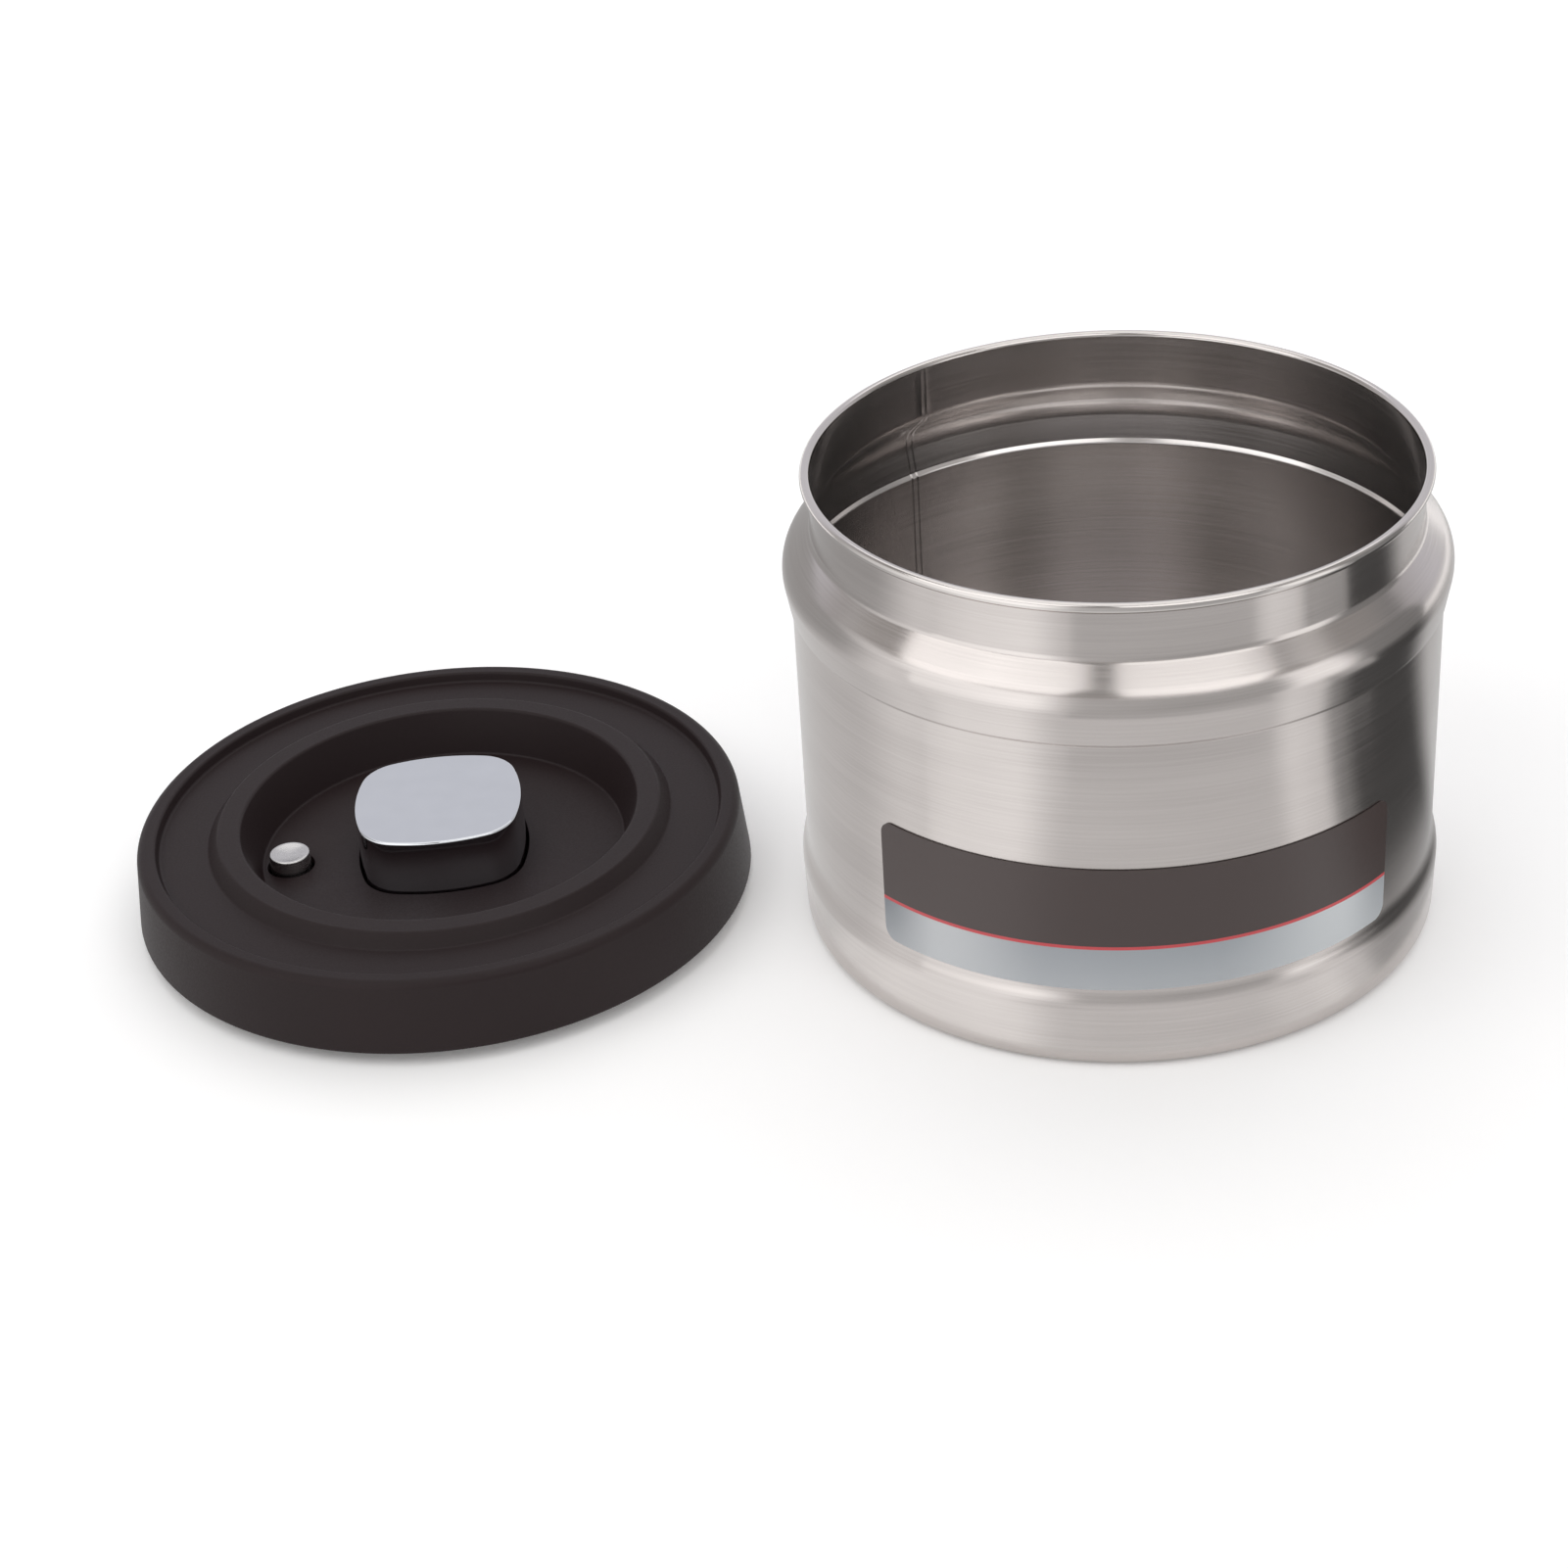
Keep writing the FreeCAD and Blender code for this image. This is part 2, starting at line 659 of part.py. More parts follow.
skirt_in_top = rim_r + k.rim_clear
flare_below = k.skirt_flare * (under_z - skirt_z) / k.skirt_height
flare_above = k.skirt_flare * (lip_z - under_z) / k.skirt_height
skirt_in_low = skirt_in_top + flare_below
skirt_out_low = skirt_in_low + k.cover_wall
lip_r = skirt_in_top + k.cover_wall - flare_above
lip_in = lip_r - k.lip_width
moat_out = lip_in - k.lip_inner_round
ring_foot = moat_out - k.moat_width
ring_out = ring_foot - k.ring_foot
ring_in = ring_out - k.ring_width
bowl_r = ring_in - k.bowl_taper
ring_low = ring_z - k.cover_wall

# The pump's radii, from its bore out to the button's sides.

bore_r = k.pump_bore / 2
cylinder_r = bore_r + k.cylinder_wall
spring_r = cylinder_r + k.spring_inner_gap + k.spring_wire / 2
button_in = spring_r + k.spring_wire / 2 + k.spring_outer_gap
button_half = button_in + k.button_wall

# Where the lid lies, and where the release valve and the first screw stand on it.

lid = (-(shoulder_r + skirt_out_low + k.lid_gap), -k.lid_front)
valve_cap_r = k.valve_cap_d / 2
valve_r = bowl_r - k.valve_edge - k.valve_hole_gap - valve_cap_r
valve_x, valve_y = valve_r.along(k.valve_turn)
valve = (lid[0] + valve_x, lid[1] + valve_y)
screw_x, screw_y = (k.screw_circle / 2).along(k.valve_turn + k.screw_turn)

# Cover: one moulding with skirt, lip, moat, raised ring and bowl.

cover = new_body("lid_cover", lid)
spin_up(cover, "cover_shell", [
    (skirt_in_low, skirt_z),
    (skirt_out_low, skirt_z, k.skirt_foot_round),
    (lip_r, lip_z, k.lip_round),
    (lip_in, lip_z, k.lip_inner_round),
    (moat_out, moat_z, k.moat_round),
    (ring_foot, moat_z, k.moat_round),
    (ring_out, ring_z, k.ring_round),
    (ring_in, ring_z, k.ring_round),
    (bowl_r, floor_z, k.bowl_round),
    (ZERO, floor_z),
    (ZERO, floor_low),
    (bowl_r + k.cover_wall, floor_low),
    (ring_in + k.cover_wall, ring_low),
    (ring_out - k.cover_wall / 2, ring_low),
    (ring_foot - k.cover_wall / 2, under_z),
    (skirt_in_top, under_z),
])
boss_sketch = new_sketch(cover, "screw_boss_circle", "XY_Plane", plate_top)
circle(boss_sketch, k.screw_boss_d / 2, screw_x, screw_y)
boss = extrude(cover, "Pad", "screw_boss", boss_sketch, floor_low - plate_top + k.floor_wall / 2)
ring_of(cover, "screw_bosses", boss, k.screw_count)
screw_r = k.screw_d / 2
screw_tip = plate_low + k.screw_length
pilot = drill(cover, "pilot_hole", screw_r + k.screw_fit, plate_top, screw_tip + k.screw_fit, screw_x, screw_y)
ring_of(cover, "pilot_holes", pilot, k.screw_count)
button_hole = new_sketch(cover, "button_hole_plan", "XY_Plane", floor_low - k.overrun, k.button_turn)
squircle(button_hole, button_half + k.button_gap, k.button_bow + k.button_gap, k.button_corner + k.button_gap)
extrude(cover, "Pocket", "button_hole", button_hole, k.floor_wall + k.overrun * 2, reverse=True)
drill(cover, "valve_hole", valve_cap_r + k.valve_hole_gap, floor_low - k.overrun, floor_z + k.overrun,
      valve_x, valve_y)

# Plug: plate with foot ring, gasket groove, pump cylinder and valve seat.

plug_r = neck_in - k.plug_gap
groove_r = plug_r - k.groove_depth
plug_in = groove_r - k.plug_wall
gasket_low = k.flange_low
gasket_top = gasket_low + k.gasket_height
flange_top = gasket_top + k.flange_high
piston_low = plate_top + k.pump_stroke + k.stroke_gap
piston_top = piston_low + k.piston_height
recess_top = piston_low + k.piston_recess
head_seat = recess_top + k.stem_screw_head + k.stem_screw_sink
web_top = head_seat + k.stem_web
cylinder_top = piston_top + k.collar_gap
stand_in = plug_r - k.stand_width
seat_z = plate_top + k.valve_boss_rise - k.valve_web
plug = new_body("inner_lid", lid)
spin_up(plug, "plug_shell", [
    (ZERO, plate_low),
    (stand_in - k.stand_slope, plate_low),
    (stand_in, ZERO),
    (plug_r, ZERO, k.plug_round),
    (plug_r, gasket_low),
    (groove_r, gasket_low),
    (groove_r, gasket_top),
    (plug_r, gasket_top),
    (plug_r, flange_top, k.plug_round),
    (groove_r, flange_top),
    (groove_r, under_z),
    (plug_in, under_z),
    (plug_in, plate_top),
    (cylinder_r, plate_top),
    (cylinder_r, cylinder_top),
    (bore_r, cylinder_top),
    (bore_r, plate_top),
    (ZERO, plate_top),
])
valve_pocket_r = k.valve_seal_d / 2 + k.valve_pocket_gap
valve_boss_sketch = new_sketch(plug, "valve_boss_circle", "XY_Plane", plate_low)
circle(valve_boss_sketch, valve_pocket_r + k.valve_boss_wall, valve_x, valve_y)
extrude(plug, "Pad", "valve_boss", valve_boss_sketch, k.plate_wall + k.valve_boss_rise)
drill(plug, "valve_pocket", valve_pocket_r, plate_low - k.overrun, seat_z, valve_x, valve_y)
valve_stem_r = k.valve_stem_d / 2
drill(plug, "valve_bore", valve_stem_r + k.valve_stem_gap, plate_low - k.overrun,
      plate_top + k.valve_boss_rise + k.overrun, valve_x, valve_y)
umbrella_stem_r = k.umbrella_stem_d / 2
drill(plug, "umbrella_hole", umbrella_stem_r + k.umbrella_fit, plate_low - k.overrun, plate_top + k.overrun)
inlet_hole = drill(plug, "inlet_hole", k.inlet_d / 2, plate_low - k.overrun, plate_top + k.overrun,
                   k.inlet_circle / 2)
ring_of(plug, "inlet_holes", inlet_hole, k.inlet_count)
screw_hole = drill(plug, "screw_hole", screw_r + k.screw_fit, plate_low - k.overrun, plate_top + k.overrun,
                   screw_x, screw_y)
ring_of(plug, "screw_holes", screw_hole, k.screw_count)

# Gasket: a silicone ring with two upturned fins.

gasket_in = groove_r + k.gasket_fit
gasket_body = gasket_in + k.gasket_body
gasket_tip = neck_in + k.gasket_squeeze
fin = [gasket_low + k.gasket_fit + (k.gasket_height - k.gasket_fit * 2) * share for share in FIN_SHARES]
gasket = new_body("lid_gasket", lid)
spin_up(gasket, "gasket_ring", [
    (gasket_in, gasket_low + k.gasket_fit),
    (gasket_body, gasket_low + k.gasket_fit),
    (gasket_body, fin[0]),
    (gasket_tip, fin[1]),
    (gasket_tip, fin[1] + k.gasket_lip),
    (gasket_body, fin[2] + k.gasket_lip),
    (gasket_body, fin[3]),
    (gasket_tip, fin[4]),
    (gasket_tip, fin[4] + k.gasket_lip),
    (gasket_body, fin[5] + k.gasket_lip),
    (gasket_body, gasket_top - k.gasket_fit),
    (gasket_in, gasket_top - k.gasket_fit),
])

# Screws that hold the plug to the cover's bosses.


def screw_solid(radius, length, head_r, head, top):
    """A pan-head screw pointing up, with the seat of its head at a height."""
    shank = Part.makeCylinder(radius.value, length.value, V(0, 0, top.value))
    cap = Part.makeCylinder(head_r.value, head.value, V(0, 0, top.value - head.value))
    return shank.fuse(cap).removeSplitter()


screws = []
for number in range(int(k.screw_count.value)):
    one = screw_solid(screw_r, k.screw_length, k.screw_head_d / 2, k.screw_head, plate_low)
    one.translate(V(screw_x.value, screw_y.value, 0))
    one.rotate(V(0, 0, 0), V(0, 0, 1), 360 / k.screw_count.value * number)
    screws.append(one)
free_form("lid_screws", Part.makeCompound(screws), lid)

# Collar welded on the cylinder: keeps the piston in.

flap_r = (k.outlet_circle + k.outlet_d) / 2 + k.flap_lap
collar_in = flap_r + k.collar_clear
collar_top = cylinder_top + k.collar_wall
collar = new_body("cylinder_collar", lid)
spin_up(collar, "collar_ring", [
    (collar_in, cylinder_top),
    (cylinder_r, cylinder_top),
    (cylinder_r, collar_top),
    (collar_in, collar_top),
])

# Inlet valve: a silicone umbrella over the plate's holes, and the guard under them.

filter_low = k.filter_clear
filter_top = filter_low + k.filter_wall
bulb_low = filter_top + k.umbrella_bulb_gap
inlet = new_body("inlet_valve", lid)
umbrella_r = k.umbrella_d / 2
spin_up(inlet, "umbrella", [
    (ZERO, bulb_low),
    (k.umbrella_bulb_d / 2, (bulb_low + plate_low) / 2),
    (k.umbrella_bulb_d / 2, plate_low),
    (umbrella_stem_r, plate_low),
    (umbrella_stem_r, plate_top),
    (umbrella_r, plate_top),
    (umbrella_r, plate_top + k.umbrella_edge),
    (umbrella_stem_r, plate_top + k.umbrella_crown),
    (ZERO, plate_top + k.umbrella_crown),
])
guard = new_body("inlet_filter", lid)
filter_r = k.filter_d / 2
spin_up(guard, "filter_cup", [
    (ZERO, filter_low),
    (filter_r, filter_low),
    (filter_r, plate_low),
    (filter_r - k.filter_rim, plate_low),
    (filter_r - k.filter_rim, filter_top),
    (ZERO, filter_top),
])
inner_hole = drill(guard, "inner_hole", k.filter_hole_d / 2, filter_low - k.overrun, filter_top + k.overrun,
                   k.filter_inner_circle / 2)
ring_of(guard, "inner_holes", inner_hole, k.filter_inner_count)
outer_hole = drill(guard, "outer_hole", k.filter_hole_d / 2, filter_low - k.overrun, filter_top + k.overrun,
                   k.filter_outer_circle / 2)
ring_of(guard, "outer_holes", outer_hole, k.filter_outer_count)

# Button: a chromed soft square, hollow below, with a screw boss.

button_low = floor_z - k.button_sink
button_under = collar_top + k.pump_stroke + k.press_gap
button_top_z = button_under + k.button_top
button = new_body("button_cap", lid)
button_plan = new_sketch(button, "button_plan", "XY_Plane", button_low, k.button_turn)
squircle(button_plan, button_half, k.button_bow, k.button_corner)
button_block = extrude(button, "Pad", "button_block", button_plan, button_top_z - button_low)
doc.recompute()
top_edges = [
    f"Edge{i}" for i, edge in enumerate(button_block.Shape.Edges, start=1)
    if abs(edge.BoundBox.ZMin - button_top_z.value) < k.button_edge.value / 100
    and abs(edge.BoundBox.ZMax - button_top_z.value) < k.button_edge.value / 100
]
button_edge = button.newObject("PartDesign::Fillet", "button_edge")
button_edge.Base = (button_block, top_edges)
button_edge.Radius = k.button_edge.value
button_edge.setExpression("Radius", k.button_edge.text)
hollow_plan = new_sketch(button, "button_hollow_plan", "XY_Plane", button_low, k.button_turn)
squircle(hollow_plan, button_in, k.button_bow - k.button_wall, k.button_corner - k.button_wall)
extrude(button, "Pocket", "button_hollow", hollow_plan, button_under - button_low, reverse=True)
boss_low = web_top + k.button_boss_gap
boss_plan = new_sketch(button, "button_boss_circle", "XY_Plane", boss_low)
circle(boss_plan, k.button_boss_d / 2)
extrude(button, "Pad", "button_boss", boss_plan, button_under - boss_low + k.button_top / 2)
drill(button, "boss_bore", screw_r + k.screw_fit, boss_low, button_under)

# Plunger: piston with a seal groove, and the stem that carries the button.

piston_r = bore_r - k.piston_gap
seal_low = piston_low + (k.piston_height - k.seal_height) / 2
seal_top = seal_low + k.seal_height
seal_in = piston_r - k.seal_depth
stem_r = k.stem_d / 2
socket_r = k.button_boss_d / 2 + k.stem_fit
head_r = k.stem_screw_head_d / 2 + k.stem_screw_gap
plunger = new_body("pump_plunger", lid)
spin_up(plunger, "piston_and_stem", [
    (screw_r + k.stem_screw_gap, head_seat),
    (head_r, head_seat),
    (head_r, recess_top),
    (k.piston_recess_d / 2, recess_top),
    (k.piston_recess_d / 2, piston_low),
    (piston_r, piston_low),
    (piston_r, seal_low),
    (seal_in, seal_low),
    (seal_in, seal_top),
    (piston_r, seal_top),
    (piston_r, piston_top),
    (stem_r, piston_top),
    (stem_r, button_under),
    (socket_r, button_under),
    (socket_r, web_top),
    (screw_r + k.stem_screw_gap, web_top),
])
outlet_hole = drill(plunger, "outlet_hole", k.outlet_d / 2, piston_low - k.overrun, piston_top + k.overrun,
                    k.outlet_circle / 2)
ring_of(plunger, "outlet_holes", outlet_hole, k.outlet_count)
stem_screw_length = boss_low + k.stem_screw_grip - head_seat
free_form("plunger_screw", screw_solid(screw_r, stem_screw_length, k.stem_screw_head_d / 2,
                                       k.stem_screw_head, head_seat), lid)

# Piston seal: a ring with a slight outward lip. Outlet flap: a flat ring on the piston.

piston_seal = new_body("piston_seal", lid)
seal_out = bore_r - k.seal_gap
seal_mid = seal_low + k.seal_height / 2
spin_up(piston_seal, "seal_ring", [
    (seal_in + k.stem_fit, seal_low),
    (piston_r, seal_low),
    (seal_out, seal_mid),
    (piston_r, seal_top),
    (seal_in + k.stem_fit, seal_top),
])
outlet = new_body("outlet_valve", lid)
spin_up(outlet, "flap_ring", [
    (stem_r + k.flap_gap, piston_top),
    (flap_r, piston_top),
    (flap_r, piston_top + k.flap_wall),
    (stem_r + k.flap_gap, piston_top + k.flap_wall),
])

# Return spring of the pump, round the cylinder.

free_form("pump_spring", coil_spring(
    "pump_spring", spring_r.value, k.spring_wire.value, (plate_top + k.spring_seat).value,
    (button_under - k.spring_seat).value, int(k.spring_turns.value)), lid)

# Release valve: turned cap, stem with a head, seal under the seat, and spring.

cap_low = floor_z - k.valve_cap_sink
cap_top = floor_z + k.valve_cap_rise
cap_under = cap_top - k.valve_cap_top
cap_in = valve_cap_r - k.valve_cap_wall
valve_socket = valve_stem_r + k.valve_stem_fit
seal_under = seat_z - k.valve_seal

release_cap = new_body("release_cap", valve)
spin_up(release_cap, "cap_turning", [
    (ZERO, cap_under),
    (valve_socket, cap_under),
    (valve_socket, cap_under - k.valve_socket),
    (valve_socket + k.valve_socket_wall, cap_under - k.valve_socket),
    (valve_socket + k.valve_socket_wall, cap_under),
    (cap_in, cap_under),
    (cap_in, cap_low),
    (valve_cap_r, cap_low),
    (valve_cap_r, cap_top, k.valve_cap_round),
    (valve_cap_r - k.valve_dish_rim, cap_top),
    (ZERO, cap_top - k.valve_dish),
])
release_stem = new_body("release_stem", valve)
spin_up(release_stem, "stem_turning", [
    (ZERO, seal_under - k.valve_head),
    (k.valve_head_d / 2, seal_under - k.valve_head),
    (k.valve_head_d / 2, seal_under),
    (valve_stem_r, seal_under),
    (valve_stem_r, cap_under),
    (ZERO, cap_under),
])
release_seal = new_body("release_seal", valve)
spin_up(release_seal, "seal_disc", [
    (valve_stem_r + k.valve_stem_fit, seal_under),
    (k.valve_seal_d / 2, seal_under),
    (k.valve_seal_d / 2, seat_z),
    (valve_stem_r + k.valve_stem_fit, seat_z),
])
valve_coil_r = (valve_socket + k.valve_socket_wall + cap_in) / 2
free_form("release_spring", coil_spring(
    "release_spring", valve_coil_r.value, k.valve_wire.value,
    (plate_top + k.valve_boss_rise + k.spring_seat).value, (cap_under - k.spring_seat).value,
    int(k.valve_turns.value)), valve)

# Build, check every object, and write one file per piece.

doc.recompute()
broken = [o.Label for o in doc.Objects if "Invalid" in o.State or "Error" in o.State]
if broken:
    raise RuntimeError("failed features: " + ", ".join(broken))
for node in nodes:
    if node.Shape.isNull() or not node.Shape.isValid():
        raise RuntimeError("bad shape: " + node.Label)
os.makedirs("parts", exist_ok=True)
for node in nodes:
    node.Shape.exportStep(f"parts/{node.Label}.step")
    box = node.Shape.BoundBox
    print(f"{node.Label}: {len(node.Shape.Solids)} solid, {node.Shape.Volume:.1f} mm3,"
          f" z {box.ZMin:.2f} to {box.ZMax:.2f}")
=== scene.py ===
# %% [markdown]
# # A steel canister and its pump lid
# The object is a food canister of rolled stainless steel. Its lid lies beside it: a dark moulded
# cover with a chromed push button that pumps the air out, and a small valve that lets it back in.
# The solids come from the CAD model and stay where they are. This lesson dresses them: each piece
# that shows is turned, wrapped or grown again with finer edges, and every piece gets a finish.

# %% Load the CAD frame
import math

import bmesh
import bpy
from mathutils import Matrix, Quaternion, Vector


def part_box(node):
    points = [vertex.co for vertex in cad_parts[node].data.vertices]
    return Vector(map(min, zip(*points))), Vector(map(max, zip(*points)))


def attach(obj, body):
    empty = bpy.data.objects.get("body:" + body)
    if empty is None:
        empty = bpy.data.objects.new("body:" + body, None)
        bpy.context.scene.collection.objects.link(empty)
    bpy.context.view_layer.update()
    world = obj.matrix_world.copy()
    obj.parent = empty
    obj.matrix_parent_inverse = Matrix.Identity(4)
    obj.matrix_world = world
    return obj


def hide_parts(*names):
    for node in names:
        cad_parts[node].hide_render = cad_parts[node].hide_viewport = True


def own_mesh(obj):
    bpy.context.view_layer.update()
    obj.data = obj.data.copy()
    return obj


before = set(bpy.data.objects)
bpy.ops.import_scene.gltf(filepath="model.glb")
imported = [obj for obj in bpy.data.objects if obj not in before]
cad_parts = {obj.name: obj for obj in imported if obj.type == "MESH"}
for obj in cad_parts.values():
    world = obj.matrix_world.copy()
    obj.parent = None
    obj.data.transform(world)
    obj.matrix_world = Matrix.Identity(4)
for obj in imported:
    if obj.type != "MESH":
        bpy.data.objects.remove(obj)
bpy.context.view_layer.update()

MM = 0.001

# %% [markdown]
# ## Camera
# The photograph looks down on the table from the front with a long lens, and both things stand in
# the lower middle of a square picture. A camera could be placed by eye, but then every shape would
# be judged against a wrong outline. Here its place comes from a fit of the canister's and the lid's
# outlines. It stands in front of the canister and turns a little to the left, to take in the lid. A
# slight roll keeps the canister upright in the picture, and a small lens shift does the rest.

# %% Camera at the photograph's place
PHOTO_PX = 1601
FOCAL_PX = 3207
AXIS_PX = 881
SENSOR_MM = 36
EYE_MM = (9.0, -586.0, 385.7)
LOOK_LEFT_DEG, LOOK_DOWN_DEG, ROLL_DEG = 6.30, 31.42, -3.18

scene = bpy.context.scene


def in_scene(name, data):
    """An object that holds the data, linked into the scene."""
    made = bpy.data.objects.new(name, data)
    scene.collection.objects.link(made)
    return made


camera = in_scene("photo_camera", bpy.data.cameras.new("photo_camera"))
camera.data.sensor_width = SENSOR_MM
camera.data.lens = SENSOR_MM * FOCAL_PX / PHOTO_PX
camera.data.shift_x = (PHOTO_PX / 2 - AXIS_PX) / PHOTO_PX
camera.location = Vector(EYE_MM) * MM
look_left = Matrix.Rotation(math.radians(LOOK_LEFT_DEG), 3, "Z")
look_down = Matrix.Rotation(math.radians(90 - LOOK_DOWN_DEG), 3, "X")
roll_camera = Matrix.Rotation(math.radians(ROLL_DEG), 3, "Z")
camera.rotation_euler = (look_left @ look_down @ roll_camera).to_euler()
scene.camera = camera
scene.view_settings.view_transform = "Standard"
print(f"lens {camera.data.lens:.1f} mm, shift {camera.data.shift_x:.3f}")

# %% [markdown]
# ## Nodes
# Shaders and Geometry Nodes are both trees of nodes. One small function adds any node: it sets the
# node's own settings, then fills or links its inputs. Steps that come often, such as a sum, a mix of
# two colours or a change over a span, are short functions that call it. Colours are written as sRGB
# hex values, as a paint program shows them, and one function turns them to the linear values that
# shaders need.

# %% One function for nodes, one for colours, and the steps that come often


def add_node(tree, kind, inputs=None, **settings):
    """Adds a node with its settings, and fills or links its inputs by name or number."""
    made = tree.nodes.new(kind)
    for name, value in settings.items():
        setattr(made, name, value)
    fill(tree, made, inputs or {})
    return made


def fill(tree, node, inputs):
    """Gives a node's inputs a value, or a link from another node's output."""
    for name, value in inputs.items():
        if isinstance(value, bpy.types.NodeSocket):
            tree.links.new(value, node.inputs[name])
        else:
            node.inputs[name].default_value = value


def linear(hex_code):
    """An sRGB hex colour as linear red, green, blue and alpha."""
    parts = [int(hex_code[i:i + 2], 16) / 255 for i in (1, 3, 5)]
    bent = [p / 12.92 if p <= 0.04045 else ((p + 0.055) / 1.055) ** 2.4 for p in parts]
    return (*bent, 1.0)


def maths(tree, operation, *values):
    """The result of one sum on numbers or sockets."""
    return add_node(tree, "ShaderNodeMath", dict(enumerate(values)), operation=operation).outputs["Value"]


def mix(tree, share, *colours):
    """A colour between two, each a hex code or a socket, by a share from 0 to 1."""
    first, last = (linear(colour) if isinstance(colour, str) else colour for colour in colours)
    return add_node(tree, "ShaderNodeMix", {0: share, 6: first, 7: last}, data_type="RGBA").outputs[2]


def spread(tree, value, span, start, end, course="LINEAR"):
    """A change from start to end while a value passes a span."""
    made = add_node(tree, "ShaderNodeMapRange", {
        "Value": value, "From Min": span[0], "From Max": span[1], "To Min": start, "To Max": end,
    }, interpolation_type=course)
    return made.outputs["Result"]


def fade(tree, value, span, start=0.0, end=1.0):
    """The same change, with a soft start and a soft end."""
    return spread(tree, value, span, start, end, "SMOOTHSTEP")


def ramp(tree, value, colours):
    """A soft run through linear colours, each at its place from 0 to 1."""
    made = add_node(tree, "ShaderNodeValToRGB", {"Fac": value})
    made.color_ramp.interpolation = "EASE"
    stops = made.color_ramp.elements
    while len(stops) < len(colours):
        stops.new(0.5)
    for stop, (place, colour) in zip(stops, colours.items()):
        stop.position = place
        stop.color = colour
    return made.outputs["Color"]


def axes(tree, place):
    """The X, Y and Z of a place."""
    return add_node(tree, "ShaderNodeSeparateXYZ", {"Vector": place}).outputs


def reach(tree, place):
    """How far a place is from the origin."""
    return add_node(tree, "ShaderNodeVectorMath", {0: place}, operation="LENGTH").outputs["Value"]


def new_material(name, on_map=False):
    """An empty material, its tree and shader, and a point's place on the object or on its UV map."""
    material = bpy.data.materials.new(name)
    material.use_nodes = True
    tree = material.node_tree
    if on_map:
        place = add_node(tree, "ShaderNodeUVMap", uv_map="grain").outputs["UV"]
    else:
        place = add_node(tree, "ShaderNodeTexCoord").outputs["Object"]
    return material, tree, tree.nodes["Principled BSDF"], place


print("white is", linear("#FFFFFF"), "middle grey", [round(c, 3) for c in linear("#808080")])

# %% [markdown]
# ## Stainless steel
# The sheet is brushed round the body with an abrasive belt. Its scratches run round the canister, so
# light spreads up and down, across them, and each reflection becomes an upright band. An anisotropic
# shader does that when its tangent runs up the wall, which the turned mesh stores as its U direction.
# The scratches themselves are about 0.1 mm apart, too fine to show, so they are drawn 0.45 mm wide.
# Inside, the sheet is only rolled and smoother, and the curled rim is polished by the rolling tool.

# %% Brushed, rolled and polished steel
NOISE_SPAN, TONE_SPAN = (0.3, 0.7), (0.7, 1.3)
STEEL_CLOUD_MM = (9, 60)
STEEL_RELIEF, PLASTIC_RELIEF, PLATED_RELIEF = 0.35, 0.4, 0.2


def streaks(tree, place, size_mm, detail, roughness=0.5):
    """A flat noise, stretched to a width and a length."""
    sized = add_node(tree, "ShaderNodeMapping", {
        "Vector": place, "Scale": (1 / (size_mm[0] * MM), 1 / (size_mm[1] * MM), 1),
    })
    made = add_node(tree, "ShaderNodeTexNoise", {
        "Vector": sized.outputs["Vector"], "Scale": 1.0, "Detail": detail, "Roughness": roughness,
    }, noise_dimensions="2D")
    return made.outputs["Fac"]


def surface(tree, shader, colour, noise, rough, relief, depth_mm, others, span=NOISE_SPAN):
    """Fills a shader, whose roughness and fine relief both follow one noise."""
    bump = add_node(tree, "ShaderNodeBump", {"Height": noise, "Strength": relief, "Distance": depth_mm * MM})
    fill(tree, shader, {
        "Base Color": colour, "Roughness": spread(tree, noise, span, *rough),
        "Normal": bump.outputs["Normal"], **others,
    })


def steel(name, tones, rough, scratch_mm, stretch, depth_mm):
    """Metal with scratches that run along V, between two tones and two roughnesses."""
    material, tree, shader, place = new_material(name, on_map=True)
    scratches = streaks(tree, place, scratch_mm, detail=3.0, roughness=0.6)
    clouds = streaks(tree, place, STEEL_CLOUD_MM, detail=2.0)
    tone = spread(tree, maths(tree, "ADD", scratches, clouds), TONE_SPAN, 0.0, 1.0)
    along = add_node(tree, "ShaderNodeTangent", direction_type="UV_MAP", uv_map="grain")
    surface(tree, shader, mix(tree, tone, *tones), scratches, rough, STEEL_RELIEF, depth_mm, {
        "Metallic": 1.0, "Anisotropic": stretch, "Tangent": along.outputs["Tangent"],
    })
    return material


brushed_steel = steel("stainless_steel_brushed", ("#BEB8B5", "#C6C0BD"), (0.18, 0.215),
                      scratch_mm=(0.45, 60), stretch=0.7, depth_mm=0.004)
rolled_steel = steel("stainless_steel_rolled", ("#D2CECC", "#D8D4D2"), (0.19, 0.23),
                     scratch_mm=(0.5, 60), stretch=0.3, depth_mm=0.002)
polished_steel = steel("stainless_steel_polished", ("#C4BFBC", "#CBC6C3"), (0.12, 0.17),
                       scratch_mm=(0.5, 60), stretch=0.3, depth_mm=0.004)
print("steel finishes:", brushed_steel.name, rolled_steel.name, polished_steel.name)

# %% [markdown]
# ## Plastics, chrome, turned metal, silicone and wire
# The cover is ABS, moulded in a tool with a fine spark-eroded texture, so it is matte with a soft
# sheen. The button is ABS too, but plated with chrome, a mirror with a trace of waviness. The valve
# cap is turned aluminium, whose tool marks are rings. The seals are silicone, soft and pale.

# %% Moulded plastics
PLASTIC_CLOUD_MM, PLASTIC_IOR = 25, 1.53


